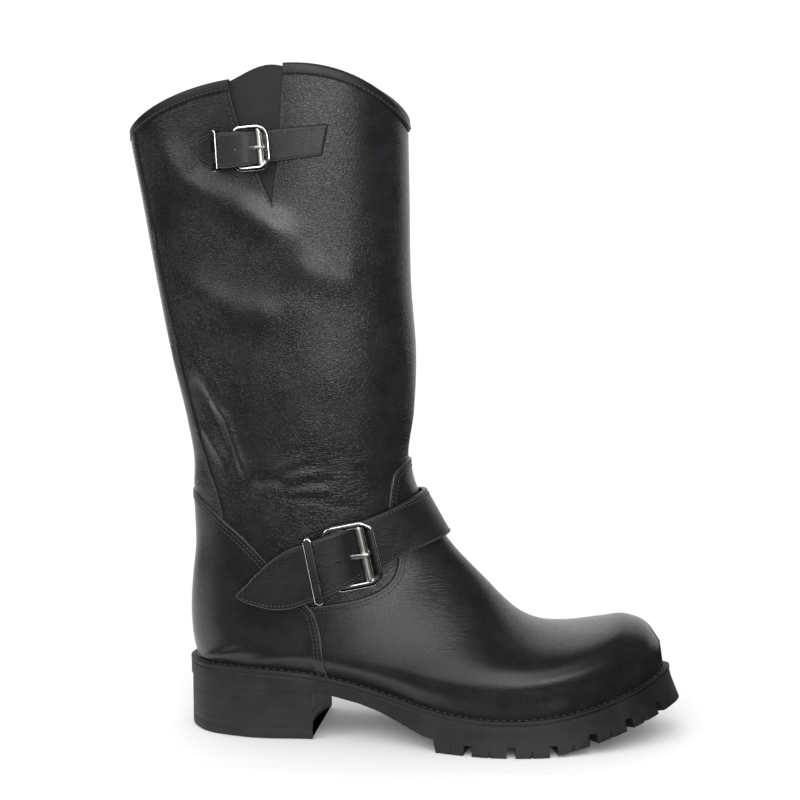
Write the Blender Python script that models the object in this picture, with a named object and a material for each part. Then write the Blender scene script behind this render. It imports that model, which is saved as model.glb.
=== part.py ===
"""Biker boot for the right foot, standing empty on its sole.

Sizes are in millimetres: x runs from the back of the heel to the toe, y to the
inner side of the foot and z up from the floor.  The finished meshes are in
metres, with the origin under the middle of the heel.
"""
import bpy
import bmesh
import numpy as np
from mathutils import Vector
from mathutils.bvhtree import BVHTree

for old in list(bpy.data.objects):
    bpy.data.objects.remove(old, do_unlink=True)

MM = 0.001
HEEL_MID = 36.0        # x of the origin, under the middle of the heel
GAP = 0.3              # clearance between neighbouring pieces
WALL = 2.0             # leather and lining of the shaft and foot
VAMP = 1.3             # leather laid over the front of the foot
COUNTER = 1.6          # leather laid over the heel
STAY = 1.0             # strip down the back of the shaft
WELT = 2.6             # thickness of the strip that the upper is sewn to
LEDGE = 5.0            # from the edge of the welt in to the bare upper
LUG = 5.6              # depth of the tread
ROUND = 0.5523         # handle length of a quarter ellipse

# Edge of the welt in plan: x, then how far it lies out on either side.
EDGE = [
    # x     lateral  medial
    (-1.4, 0.0, 0.0),
    (8.0, 20.5, 20.0),
    (33.0, 31.8, 31.2),
    (75.0, 33.4, 31.0),
    (112.0, 38.5, 29.8),
    (143.0, 48.8, 37.5),
    (174.0, 54.8, 46.5),
    (205.0, 52.2, 48.8),
    (238.0, 39.6, 40.4),
    (261.0, 22.4, 25.6),
    (274.5, -1.5, 1.5),
]
# Top of the welt along the boot: x, z.
SEAT = [
    (-1.0, 40.5), (38.0, 40.6), (75.0, 37.4), (92.0, 34.4), (112.0, 29.8), (135.0, 24.4),
    (157.0, 20.8), (180.0, 19.8), (205.0, 20.8), (225.0, 23.9), (245.0, 28.9), (261.0, 34.0),
    (275.0, 39.6),
]
# Underside of the sole along the boot: x, z.
UNDER = [
    (-8.0, 30.6), (80.0, 27.0), (88.0, 25.4), (100.0, 22.8), (112.0, 19.0), (124.0, 14.0),
    (136.0, 8.8), (142.6, 7.4), (144.2, 0.0), (206.0, 0.0), (226.0, 4.4), (243.0, 9.2),
    (260.0, 15.2), (276.0, 20.8),
]
# Flare of the sole wall towards the floor: x, extra width at the bottom.
FLARE = [(0.0, 0.0), (90.0, 0.4), (140.0, 1.6), (175.0, 3.0), (225.0, 3.6), (262.0, 5.0), (276.0, 6.0)]
# Line down the back of the bare upper: z, x.
BACK = [
    (41.0, 3.7), (55.0, 1.6), (70.0, 1.0), (85.0, 1.9), (107.0, 4.2), (125.0, 3.8), (142.0, 3.0),
    (154.0, 3.4), (178.0, -0.2), (212.0, -8.0), (257.0, -16.4), (303.0, -24.2), (336.0, -30.2),
]
# Sections of the bare upper, from the collar down and forward to the toe.  Each
# one runs from the ridge in front, past its widest place, to its end: on the
# back line from -1 at the collar to 0 at the heel, then to 1 along the welt.
SECTIONS = [
    # front_x front_y front_z wide_x wide_z lateral medial  end    full  rise
    (125.4, 0.0, 343.5, 58.0, 340.0, 40.0, 40.0, -1.000, 0.560, 35.0),
    (125.4, 0.0, 304.0, 58.0, 302.0, 40.2, 40.0, -0.880, 0.560, 19.0),
    (126.2, 0.0, 258.0, 59.0, 256.0, 40.0, 39.6, -0.725, 0.560, 6.0),
    (129.2, 0.0, 214.0, 61.0, 210.0, 39.4, 38.8, -0.560, 0.560, 0.0),
    (127.8, 0.0, 182.0, 62.0, 175.0, 38.0, 37.4, -0.436, 0.560, 0.0),
    (124.8, 0.0, 158.0, 61.0, 148.0, 36.6, 36.0, -0.345, 0.555, 0.0),
    (126.4, 0.2, 146.0, 60.0, 130.0, 35.6, 34.6, -0.260, 0.550, 0.0),
    (130.8, 0.5, 134.4, 58.0, 111.0, 34.4, 33.0, -0.175, 0.545, 0.0),
    (136.8, 0.8, 123.4, 57.0, 91.0, 33.0, 31.6, -0.090, 0.540, 0.0),
    (143.2, 1.2, 113.6, 56.0, 71.0, 31.8, 30.4, 0.000, 0.535, 0.0),
    (150.4, 1.6, 104.2, 64.0, 61.0, 31.6, 30.0, 0.085, 0.530, 0.0),
    (158.6, 2.0, 95.4, 78.0, 54.5, 32.4, 29.6, 0.190, 0.530, 0.0),
    (168.0, 2.4, 85.8, 97.0, 49.5, 35.2, 30.2, 0.300, 0.535, 0.0),
    (177.6, 2.8, 75.6, 119.0, 45.0, 39.6, 32.6, 0.400, 0.545, 0.0),
    (188.4, 3.0, 66.4, 143.0, 40.5, 45.6, 37.8, 0.500, 0.560, 0.0),
    (202.0, 3.0, 60.4, 169.0, 37.5, 50.4, 43.4, 0.590, 0.580, 0.0),
    (219.0, 2.8, 59.4, 197.0, 37.0, 50.0, 45.8, 0.685, 0.600, 0.0),
    (236.0, 2.4, 62.2, 223.0, 39.6, 43.4, 42.6, 0.775, 0.620, 0.0),
    (250.4, 2.0, 64.6, 244.0, 43.2, 32.4, 33.4, 0.853, 0.630, 0.0),
    (261.4, 1.8, 60.2, 258.6, 45.6, 19.6, 22.4, 0.915, 0.620, 0.0),
    (267.6, 1.6, 51.6, 266.6, 44.0, 8.2, 11.2, 0.963, 0.600, 0.0),
]
# Side outlines, x and z, that the pieces laid over the upper are cut to.
VAMP_SIDE = [
    (69.4, 77.6), (72.6, 62.0), (79.0, 28.0), (150.0, 0.0), (300.0, 10.0), (300.0, 90.0),
    (165.0, 140.0), (140.0, 163.0), (127.0, 157.6), (121.0, 155.6), (117.4, 151.0), (115.6, 140.0),
    (114.8, 131.0), (118.6, 112.0), (120.4, 101.0), (117.2, 91.3), (111.0, 86.2), (98.0, 81.2), (82.0, 78.3),
]
COUNTER_SIDE = [
    (-40.0, 150.0), (4.0, 138.4), (13.5, 132.4), (24.1, 124.4), (34.0, 117.0), (47.2, 104.2), (58.0, 90.5),
    (66.0, 81.0), (68.6, 77.4), (72.0, 62.0), (78.0, 30.0), (60.0, 20.0), (-40.0, 20.0),
]
STAY_SIDE = [
    (-60.0, 331.0), (-25.6, 331.0), (-18.4, 295.0), (-12.8, 264.4), (-4.5, 225.2), (3.4, 191.1),
    (12.1, 160.4), (19.4, 141.5), (22.2, 126.9), (13.5, 133.6), (4.2, 139.5), (-60.0, 160.0),
]
SLIT_SIDE = [
    (30.4, 384.0), (36.0, 347.0), (45.2, 318.0), (50.4, 302.6), (55.4, 322.0), (59.4, 344.0), (60.2, 384.0),
]
GUSSET_SIDE = [
    (24.0, 361.0), (36.0, 318.0), (44.0, 296.0), (57.0, 296.0), (64.0, 330.0), (66.0, 364.5),
    (59.4, 364.5), (59.4, 373.6), (33.0, 369.2), (33.0, 361.0),
]
# Ankle strap around the boot: bearing from the lateral side (-90) over the
# front (0) to the medial side, heights of its edges, clearance off the leather.
ANKLE_AXIS = 74.0
ANKLE_STRAP = [
    # bearing low_z  high_z low_off high_off
    (-142.4, 82.2, 83.8, 0.8, 0.8),
    (-138.0, 79.4, 89.6, 0.8, 0.8),
    (-131.0, 77.0, 97.4, 0.9, 0.9),
    (-115.0, 75.8, 108.8, 1.6, 1.6),
    (-98.0, 79.9, 114.8, 5.0, 5.0),
    (-88.0, 82.6, 117.4, 6.4, 6.4),
    (-76.0, 86.4, 120.6, 7.0, 7.0),
    (-66.0, 89.6, 122.8, 6.2, 6.2),
    (-56.0, 92.8, 124.8, 3.4, 3.4),
    (-48.0, 95.4, 126.8, 1.6, 1.6),
    (-36.0, 99.4, 130.2, 1.0, 1.2),
    (-18.0, 108.0, 136.0, 1.0, 1.4),
    (0.0, 113.0, 138.6, 1.0, 1.6),
    (18.0, 108.4, 136.2, 1.0, 1.4),
    (36.0, 101.0, 131.6, 1.0, 1.2),
    (56.0, 94.0, 126.4, 0.8, 0.9),
    (76.0, 88.0, 121.4, 0.8, 0.8),
    (100.0, 83.0, 116.4, 0.8, 0.8),
]
# Stretch of the strap that lies flat for its buckle: bearings of fading in and out.
ANKLE_FLAT = [(-124.0, 0.0), (-100.0, 1.0), (-44.0, 1.0), (-26.0, 0.0)]
ANKLE_LEAN = 0.20      # how far the buckle leans back for each millimetre up
ANKLE_THICK = 2.4
# Top strap across the slit on the lateral side: x, edges, clearance.
TOP_STRAP = [
    # x    low_z  high_z  off
    (9.0, 331.0, 332.6, 0.6),
    (11.0, 327.6, 335.6, 0.6),
    (15.0, 323.6, 338.6, 0.8),
    (20.0, 321.8, 340.4, 2.8),
    (26.0, 321.6, 341.2, 5.2),
    (34.0, 322.2, 341.6, 6.2),
    (40.0, 323.0, 341.8, 5.4),
    (45.0, 323.8, 342.0, 3.0),
    (50.0, 324.6, 342.4, 1.0),
    (58.0, 325.6, 343.2, 0.4),
    (70.0, 327.2, 344.4, 0.4),
    (82.6, 328.6, 345.6, 0.4),
]
TOP_THICK = 2.0


def curve(knots, values):
    """Smooth curve through rows of values at rising knots."""
    knots = np.asarray(knots, float)
    values = np.asarray(values, float).reshape(len(knots), -1)
    step = np.diff(knots)
    rise = np.diff(values, axis=0) / step[:, None]
    slope = np.empty_like(values)
    near, far = step[:-1, None], step[1:, None]
    slope[1:-1] = (rise[:-1] * far + rise[1:] * near) / (near + far)
    slope[0], slope[-1] = rise[0], rise[-1]

    def at(place):
        place = np.clip(np.asarray(place, float), knots[0], knots[-1])
        k = np.clip(np.searchsorted(knots, place, side="right") - 1, 0, len(step) - 1)
        h = step[k][..., None]
        w = (place - knots[k])[..., None] / h
        start = (1 + 2 * w) * (1 - w) ** 2 * values[k] + w * (1 - w) ** 2 * h * slope[k]
        return start + w * w * (3 - 2 * w) * values[k + 1] + w * w * (w - 1) * h * slope[k + 1]

    return at


def table(rows):
    """Straight-line reading of a two-column table."""
    columns = np.asarray(rows, float).T
    return lambda place: np.interp(place, columns[0], columns[1])


def smooth_table(rows):
    """Smooth reading of a two-column table."""
    columns = np.asarray(rows, float).T
    shape = curve(columns[0], columns[1])
    return lambda place: shape(place)[..., 0]


seat, back_line, flare = smooth_table(SEAT), smooth_table(BACK), smooth_table(FLARE)
under = table(UNDER)

# The welt's edge as one closed curve, read from heel to toe on either side.
edge_rows = np.array(EDGE)
loop = np.vstack([
    np.column_stack([edge_rows[:, 0], -edge_rows[:, 1]]),
    np.column_stack([edge_rows[:, 0], edge_rows[:, 2]])[-2:0:-1],
])
loop = np.vstack([loop[-3:], loop, loop[:4]])
reach = np.concatenate([[0], np.cumsum(np.hypot(*np.diff(loop, axis=0).T))])
loop_curve = curve(reach, loop)
first, toe, last = reach[3], reach[3 + len(EDGE) - 1], reach[-4]
SIDES = {}
for side, places in ((-1, np.linspace(first, toe, 1500)), (1, np.linspace(last, toe, 1500))):
    points = loop_curve(places)
    way = np.gradient(points, axis=0)
    way /= np.hypot(way[:, 0], way[:, 1])[:, None]
    out = np.column_stack([-side * way[:, 1], side * way[:, 0]])
    length = np.concatenate([[0], np.cumsum(np.hypot(*np.diff(points, axis=0).T))])
    SIDES[side] = (length / length[-1], points, way, out)


def rim(part, side, inset):
    """Place on the welt's edge by its part of the way to the toe, moved in by inset, with its direction."""
    parts, points, way, out = SIDES[side]
    read = [np.interp(part, parts, column) for column in (*points.T, *way.T, *out.T)]
    return read[0] - inset * read[4], read[1] - inset * read[5], read[2], read[3]


def part_at(x, side):
    """Part of the way to the toe at which the welt's edge passes x."""
    parts, points, way, out = SIDES[side]
    return np.interp(x, np.maximum.accumulate(points[:, 0]), parts)


section_rows = np.array(SECTIONS)
moves = np.hypot(*np.diff(section_rows[:, [0, 2]], axis=0).T)
moves = moves + np.hypot(*np.diff(section_rows[:, [3, 4]], axis=0).T)
KNOTS = np.concatenate([[0], np.cumsum(moves)])
section = curve(KNOTS, section_rows)
HEEL_KNOT = KNOTS[[row[7] for row in SECTIONS].index(0.0)]


def surface(t, u, side):
    """Outside of the bare upper; u is 0 at the ridge, 1 at the widest place, 2 at the end."""
    t, u = np.broadcast_arrays(np.asarray(t, float), np.asarray(u, float))
    fx, fy, fz, wx, wz, lateral, medial, end, full, rise = np.moveaxis(section(t), -1, 0)
    wy = -lateral if side < 0 else medial
    height = 41.0 - np.minimum(end, 0) * (336.0 - 41.0)
    gx, gy, tx, ty = rim(np.clip(end, 0, 1), side, LEDGE)
    on_back = end <= 0
    gz = np.where(on_back, height, seat(gx) + GAP)
    gx = np.where(on_back, back_line(height), gx)
    gy = np.where(on_back, 0.0, gy)
    tx, ty = np.where(on_back, 0.0, -tx), np.where(on_back, -side, -ty)
    lean = np.clip(np.where(end > 0.3, 1.0, np.abs(tx)), 0, 1)
    turn = np.clip((np.abs(wy) - np.abs(gy)) / np.maximum(np.abs(ty), 0.02), 0, np.abs(wx - gx))
    turn = turn * np.sign(wx - gx) * ROUND
    quarter = [
        (np.stack([fx, fy, fz]), np.stack([fx, fy + full * (wy - fy), fz]),
         np.stack([wx + full * (fx - wx), wy, wz + full * (fz - wz)]), np.stack([wx, wy, wz])),
        (np.stack([wx, wy, wz]), np.stack([wx + ROUND * (gx - wx), wy, wz + ROUND * (gz - wz)]),
         np.stack([gx - turn * tx, gy - turn * ty + 0.4 * lean * (wy - gy), gz + ROUND * lean * (wz - gz)]),
         np.stack([gx, gy, gz])),
    ]
    found = []
    for (a, b, c, d), w in zip(quarter, (np.clip(u, 0, 1), np.clip(u - 1, 0, 1))):
        found.append((1 - w) ** 3 * a + 3 * w * (1 - w) ** 2 * b + 3 * w * w * (1 - w) * c + w ** 3 * d)
    place = np.where(u <= 1, found[0], found[1])
    place[2] += rise * np.sin(np.pi * np.clip(u, 0, 2) / 2) ** 1.45
    return np.moveaxis(place, 0, -1)


def skin(t, u, side, off):
    """The upper's surface moved out along its normal."""
    small_t, small_u = 0.5, 0.02
    last_t = KNOTS[-1]
    later = np.where(t <= HEEL_KNOT, np.minimum(t + small_t, HEEL_KNOT), np.minimum(t + small_t, last_t))
    ahead = surface(later, u, side) - surface(np.maximum(t - small_t, 0), u, side)
    across = surface(t, np.minimum(u + small_u, 2), side) - surface(t, np.maximum(u - small_u, 0), side)
    normal = np.cross(ahead, across) * side
    on_seam = (u <= 0) | ((u >= 2) & (t <= HEEL_KNOT))
    normal[..., 1] = np.where(on_seam, 0.0, normal[..., 1])
    at_welt = (u >= 2) & (t >= HEEL_KNOT)
    part = np.clip(section(t)[..., 7], 0, 1)
    for axis, value in enumerate((rim(part, side, -1.0)[0] - rim(part, side, 0.0)[0],
                                  rim(part, side, -1.0)[1] - rim(part, side, 0.0)[1], 0.0)):
        normal[..., axis] = np.where(at_welt, value, normal[..., axis])
    normal /= np.linalg.norm(normal, axis=-1)[..., None]
    return surface(t, u, side) + off * normal


def grid(ts, us, off):
    """Rows of the skin from its end on the lateral side over the ridge to its end on the medial side."""
    ts, us = np.asarray(ts)[:, None], np.asarray(us)
    lateral = skin(ts, us[None, ::-1], -1, off)
    medial = skin(ts, us[None, 1:], 1, off)
    found = np.concatenate([lateral, medial], axis=1)
    found[..., 2] = np.maximum(found[..., 2], seat(found[..., 0]) + GAP)
    return found


MATERIALS = {}


def material(name, color, roughness, metallic=0.0):
    made = bpy.data.materials.new(name)
    made.use_nodes = True
    made.diffuse_color = (*color, 1.0)
    shader = made.node_tree.nodes["Principled BSDF"]
    shader.inputs["Base Color"].default_value = (*color, 1.0)
    shader.inputs["Roughness"].default_value = roughness
    shader.inputs["Metallic"].default_value = metallic
    MATERIALS[name] = made


material("shaft_leather", (0.018, 0.018, 0.019), 0.42)
material("vamp_leather", (0.016, 0.016, 0.017), 0.36)
material("strap_leather", (0.020, 0.020, 0.021), 0.44)
material("gusset_leather", (0.012, 0.012, 0.013), 0.55)
material("binding_leather", (0.015, 0.015, 0.016), 0.50)
material("sole_rubber", (0.020, 0.020, 0.021), 0.70)
material("welt_rubber", (0.026, 0.026, 0.027), 0.62)
material("insole_fabric", (0.10, 0.10, 0.10), 0.90)
material("nickel", (0.80, 0.78, 0.74), 0.18, 1.0)


def make(name, points, faces, skin_name=None):
    """Mesh object from points in millimetres."""
    mesh = bpy.data.meshes.new(name)
    body = bmesh.new()
    corners = [body.verts.new(((p[0] - HEEL_MID) * MM, p[1] * MM, p[2] * MM)) for p in points]
    for face in faces:
        body.faces.new([corners[i] for i in face])
    bmesh.ops.recalc_face_normals(body, faces=body.faces)
    if body.calc_volume(signed=True) < 0:
        bmesh.ops.reverse_faces(body, faces=body.faces)
    body.to_mesh(mesh)
    body.free()
    thing = bpy.data.objects.new(name, mesh)
    bpy.context.scene.collection.objects.link(thing)
    if skin_name:
        mesh.materials.append(MATERIALS[skin_name])
    return thing


def weld(points):
    """Number for every point of a grid, with one number for points that coincide."""
    known, numbers, kept = {}, np.empty(points.shape[:-1], int), []
    for place in np.ndindex(numbers.shape):
        key = tuple(np.round(points[place], 3) + 0.0)
        if key not in known:
            known[key] = len(kept)
            kept.append(place)
        numbers[place] = known[key]
    return numbers, kept


def trim(face):
    """A face without repeated corners."""
    clean = [v for i, v in enumerate(face) if v != face[i - 1]]
    return clean if len(set(clean)) == len(clean) and len(clean) > 2 else None


def shell(name, outer, inner, skin_name=None):
    """Solid between two grids of the same rows and columns."""
    numbers, kept = weld(outer)
    count = len(kept)
    faces = []
    for i, j in np.ndindex(numbers.shape[0] - 1, numbers.shape[1] - 1):
        a, b, c, d = numbers[i, j], numbers[i, j + 1], numbers[i + 1, j + 1], numbers[i + 1, j]
        halves = ((a, b, c), (a, c, d)) if 2 * j >= numbers.shape[1] - 1 else ((a, b, d), (b, c, d))
        faces += [list(half) for half in halves if len(set(half)) == 3]
    edges = {(f[k - 1], f[k]) for f in faces for k in range(len(f))}
    borders = [(b, a, a + count, b + count) for a, b in edges if (b, a) not in edges]
    faces += [[v + count for v in reversed(f)] for f in faces]
    points = [outer[place] for place in kept] + [inner[place] for place in kept]
    return make(name, points, faces + sorted(borders), skin_name)


def tube(name, rings, skin_name=None, closed=False):
    """Solid through rings of the same number of points, closed on itself or capped."""
    rings = np.asarray(rings, float)
    numbers, kept = weld(rings)
    count, around = numbers.shape
    faces = []
    for i in range(count if closed else count - 1):
        for j in range(around):
            k, m = (i + 1) % count, (j + 1) % around
            face = trim([numbers[i, j], numbers[i, m], numbers[k, m], numbers[k, j]])
            if face:
                faces.append(face)
    if not closed:
        faces += [cap for cap in (trim(list(numbers[0][::-1])), trim(list(numbers[-1]))) if cap]
    return make(name, [rings[place] for place in kept], faces, skin_name)


def side_prism(outline, low_y, high_y):
    """Cutter with an outline in side view, between two values of y."""
    return tube("cutter", [[(x, y, z) for x, z in outline] for y in (low_y, high_y)])


def cut(target, cutter, operation="DIFFERENCE"):
    """Boolean of target with cutter, which is used up."""
    cutter.hide_render = True
    cutter.display_type = "WIRE"
    step = target.modifiers.new("cut", "BOOLEAN")
    step.object = cutter
    step.operation = operation
    step.solver = "EXACT"
    skin_of = target.data.materials[0]
    done = bpy.data.meshes.new_from_object(target.evaluated_get(bpy.context.evaluated_depsgraph_get()))
    target.modifiers.clear()
    target.data = done
    done.materials.clear()
    done.materials.append(skin_of)
    for face in done.polygons:
        face.material_index = 0
    bpy.data.objects.remove(cutter, do_unlink=True)


# Sole: a slab from the welt down to the tread, with the lugs cut out of it.
start_x, end_x = EDGE[0][0], EDGE[-1][0]
bend = np.linspace(0, np.pi / 2, 8)
sole_x = np.concatenate([
    start_x + 30 * (1 - np.cos(bend)), np.linspace(44, 136, 9), [142.6, 144.2], np.linspace(154, 220, 7),
    end_x - 42 * (1 - np.cos(bend[::-1])),
])


def slab(xs, inset, top_drop, bottom, spread=0.0):
    """Rings across the boot between the seat and a bottom height."""
    rings = []
    for x in xs:
        left, right = (rim(part_at(x, side), side, inset)[:2] for side in (-1, 1))
        low = [rim(part_at(x, side), side, inset - spread * flare(x))[:2] for side in (-1, 1)]
        rings.append([
            (*left, seat(x) - top_drop), (*right, seat(x) - top_drop),
            (*low[1], bottom(x)), (*low[0], bottom(x)),
        ])
    return rings


outsole = tube("outsole", slab(sole_x, 0.2, WELT + GAP, under, 1.0), "sole_rubber")
GROOVES = [162.0, 185.6, 208.7, 230.0, 249.4, 265.4]


def groove_box(middle, along, half_long, half_wide, top):
    """Upright box cutter below a height, with its length along a plan direction."""
    along = np.array(along) / np.hypot(*along)
    across = np.array([-along[1], along[0]])
    ways = ((-1, -1), (1, -1), (1, 1), (-1, 1))
    corners = [middle + a * half_long * along + b * half_wide * across for a, b in ways]
    return tube("cutter", [[(*corner, z) for corner in corners] for z in (-6.0, top)])


channel = []
for side, xs in ((-1, np.linspace(138, 262, 14)), (1, np.linspace(262, 138, 14))):
    for x in xs:
        part = part_at(x, side)
        wide, narrow = rim(part, side, 17.0), rim(part, side, 21.0)
        top = under(max(x, 145.0)) + LUG - 0.4
        channel.append([(*wide[:2], -6), (*wide[:2], top), (*narrow[:2], top), (*narrow[:2], -6)])
cut(outsole, tube("cutter", channel))
for x in GROOVES:
    for side in (-1, 1):
        px, py, wx, wy = rim(part_at(x, side), side, 4.0)
        cut(outsole, groove_box(np.array([px, py]), (-wy, wx), 14.6, 2.5, under(x) + LUG))
for x in (174.0, 197.0, 219.5):
    ends = np.array([rim(part_at(x, side), side, 19.0)[:2] for side in (-1, 1)])
    across = ends[1] - ends[0]
    cut(outsole, groove_box(ends.mean(axis=0), across, np.hypot(*across) / 2, 2.5, under(x) + LUG))

# Welt: the flat strip around the upper that the sole is stitched to.
welt_parts = [(-1, p) for p in np.linspace(0, 1, 34)] + [(1, p) for p in np.linspace(1, 0, 34)[1:-1]]
welt_rings = []
for side, p in welt_parts:
    out_x, out_y = rim(p, side, 0.0)[:2]
    in_x, in_y = rim(p, side, LEDGE + 9.0)[:2]
    high = [seat(np.array(v)) for v in (out_x, in_x)]
    welt_rings.append([
        (out_x, out_y, high[0] - WELT), (out_x, out_y, high[0]),
        (in_x, in_y, high[1]), (in_x, in_y, high[1] - WELT),
    ])
tube("welt", welt_rings, "welt_rubber", closed=True)

# Heel: a tall block with a hollow front, longer on the medial side.
HEEL_FRONT = {-1: 73.0, 1: 77.0}
heel_outline = [rim(p, -1, 0.8)[:2] for p in np.linspace(part_at(HEEL_FRONT[-1], -1), 0, 18)]
heel_outline += [rim(p, 1, 0.8)[:2] for p in np.linspace(0, part_at(HEEL_FRONT[1], 1), 18)[1:]]
corner_a, corner_b = np.array(heel_outline[-1]), np.array(heel_outline[0])
for w in np.linspace(0, 1, 8)[1:-1]:
    hollow = 4 * w * (1 - w) * 5.0
    heel_outline.append(tuple(corner_a + w * (corner_b - corner_a) - np.array([hollow, 0])))
tube("heel", [
    [(x, y, 0.0) for x, y in heel_outline], [(x, y, under(x) - GAP) for x, y in heel_outline],
], "sole_rubber")

# Insole: the board that the foot stands on, inside the upper.
insole_x = np.concatenate([
    start_x + 30 * (1 - np.cos(bend)), np.linspace(46, 222, 15), end_x - 42 * (1 - np.cos(bend[::-1])),
])
INSOLE = 3.0
insole_rings = [
    [(x, y, seat(np.array(x)) + lift)
     for (x, y, z), lift in zip(ring, (GAP + INSOLE, GAP + INSOLE, GAP, GAP))]
    for ring in slab(insole_x, LEDGE + WALL + 2.6, 0.0, seat)
]
tube("insole", insole_rings, "insole_fabric")

# Upper: shaft and foot in one hollow wall, open at the collar and underneath.
TS = np.unique(np.concatenate([KNOTS, (KNOTS[:5] + KNOTS[1:6]) / 2, (KNOTS[9:20] + KNOTS[10:21]) / 2]))
US = np.linspace(0, 2, 13)


def closed_toe(rows, off):
    """Grid with a last row drawn together at the toe, so that it closes."""
    tip_x, tip_y = rim(1.0, -1, LEDGE - off)[:2]
    tip = np.array([tip_x, tip_y, seat(np.array(tip_x)) + GAP])
    return np.concatenate([rows, np.broadcast_to(tip, rows[-1:].shape)])


def body(off, first_t=0.0, last_t=None):
    """Grid of the whole upper, or of its sections between two knots."""
    if last_t is None:
        return closed_toe(grid(TS[TS >= first_t], US, off), off)
    return grid(TS[(TS >= first_t) & (TS <= last_t)], US, off)


upper = shell("upper", body(0.0), body(-WALL), "shaft_leather")
cut(upper, side_prism(SLIT_SIDE, -90.0, -12.0))

# Gusset: the leather behind the slit, inside the shaft.
GUSSET = 1.1
behind = -WALL - GAP
gusset = shell(
    "gusset", body(behind, 0.0, KNOTS[3]), body(behind - GUSSET, 0.0, KNOTS[3]), "gusset_leather",
)
cut(gusset, side_prism(GUSSET_SIDE, -90.0, -12.0), "INTERSECT")

# Vamp, counter and back stay: leather laid over the upper, cut from the upper's own shape.
vamp = shell("vamp", body(GAP + VAMP, KNOTS[4]), body(GAP, KNOTS[4]), "vamp_leather")
cut(vamp, side_prism(VAMP_SIDE, -90.0, 90.0), "INTERSECT")
counter = shell("counter", body(GAP + COUNTER, KNOTS[4]), body(GAP, KNOTS[4]), "vamp_leather")
cut(counter, side_prism(COUNTER_SIDE, -90.0, 90.0), "INTERSECT")
stay = shell("back_stay", body(GAP + STAY, 0.0, KNOTS[8]), body(GAP, 0.0, KNOTS[8]), "shaft_leather")
cut(stay, side_prism(STAY_SIDE, -90.0, 90.0), "INTERSECT")

# Binding: a strip folded over the collar, with its ends at the slit.
BIND, BIND_DROP = 0.9, 5.4
DROP_T = BIND_DROP * KNOTS[1] / 40.0


def collar_u(x):
    """Where the lateral side of the collar passes x."""
    us = np.linspace(0, 2, 801)
    return np.interp(-x, -surface(0.0, us, -1)[:, 0], us)


slit_front, slit_back = collar_u(60.6), collar_u(30.0)
bind_front = US[US <= slit_front]
bind_back = US[US >= slit_back]


def bind_ring(side, u):
    """Outline of the binding across the collar."""
    levels = {off: (skin(0.0, u, side, off), skin(DROP_T, u, side, off)) for off in (
        GAP, GAP + BIND, -WALL - GAP, -WALL - GAP - BIND)}
    up = levels[GAP][0] - levels[GAP][1]
    up /= np.linalg.norm(up)
    out_a, out_b, in_a, in_b = levels.values()
    return np.array([
        out_a[1], out_b[1], out_b[0] + (GAP + 0.4) * up, (out_b[0] + in_b[0]) / 2 + (GAP + BIND) * up,
        in_b[0] + (GAP + 0.4) * up, in_b[1], in_a[1], in_a[0] + GAP * up, out_a[0] + GAP * up,
    ])


def bind_end(low, high, u):
    """Outline part of the way between two columns of the collar."""
    share = (u - low) / (high - low)
    return (1 - share) * bind_ring(-1, low) + share * bind_ring(-1, high)


bind_rings = [bind_end(bind_front[-1], bind_front[-1] + US[1], slit_front)]
bind_rings += [bind_ring(-1, u) for u in bind_front[::-1]] + [bind_ring(1, u) for u in US[1:]]
bind_rings += [bind_ring(-1, u) for u in bind_back[-2::-1]]
bind_rings += [bind_end(bind_back[0] - US[1], bind_back[0], slit_back)]
tube("collar_binding", bind_rings, "binding_leather")

# Straps lie on the dressed boot: the bare upper with every overlay's thickness.
DRESS = GAP + COUNTER
dressed = body(DRESS)
numbers, kept = weld(dressed)
quads = [trim([numbers[i, j], numbers[i, j + 1], numbers[i + 1, j + 1], numbers[i + 1, j]])
         for i, j in np.ndindex(numbers.shape[0] - 1, numbers.shape[1] - 1)]
tree = BVHTree.FromPolygons([tuple(dressed[place]) for place in kept], [q for q in quads if q])
bare = body(GAP)
bare_tree = BVHTree.FromPolygons([tuple(bare[place]) for place in kept], [q for q in quads if q])


def cast(which, source, aim):
    """First place that a ray meets, and the way back along it."""
    aim = Vector(aim).normalized()
    return np.array(which.ray_cast(Vector(source), aim)[0]), -np.array(aim)


def ankle_hits(bearing, low_z, high_z, low_off, high_off, extra):
    """Places across the boot at one bearing, held off its leather."""
    angle = np.radians(bearing)
    way = np.array([np.cos(angle), np.sin(angle), 0.0])
    row = []
    for w in (0.0, 0.5, 1.0):
        z = low_z + w * (high_z - low_z)
        hit, out = cast(tree, np.array([ANKLE_AXIS, 0.0, z]) + 260 * way, -way)
        row.append(hit + (low_off + w * (high_off - low_off) + extra) * out)
    span = [np.hypot(p[0] - ANKLE_AXIS, p[1]) for p in row]
    row[1] = row[1] + max(0.0, (span[0] + span[2]) / 2 - span[1]) * way
    return np.array(row)


flat_share = table(ANKLE_FLAT)


def ankle_row(bearing, extra):
    """Points across the ankle strap at one bearing."""
    read = ankle_read(bearing)
    row = ankle_hits(bearing, *read, extra)
    half = (read[1] - read[0]) * 0.483 * ANKLE_WAY
    flat = np.array([row[1] - half, row[1], row[1] + half])
    share = flat_share(bearing)
    return (1 - share) * row + share * flat


def top_row(x, low_z, high_z, off, extra):
    """Points across the top strap at one x."""
    row = []
    for w in (0.0, 0.5, 1.0):
        hit, out = cast(bare_tree, (x, -260.0, low_z + w * (high_z - low_z)), (0.0, 1.0, 0.0))
        row.append(hit + (off + extra) * out)
    return row


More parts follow.
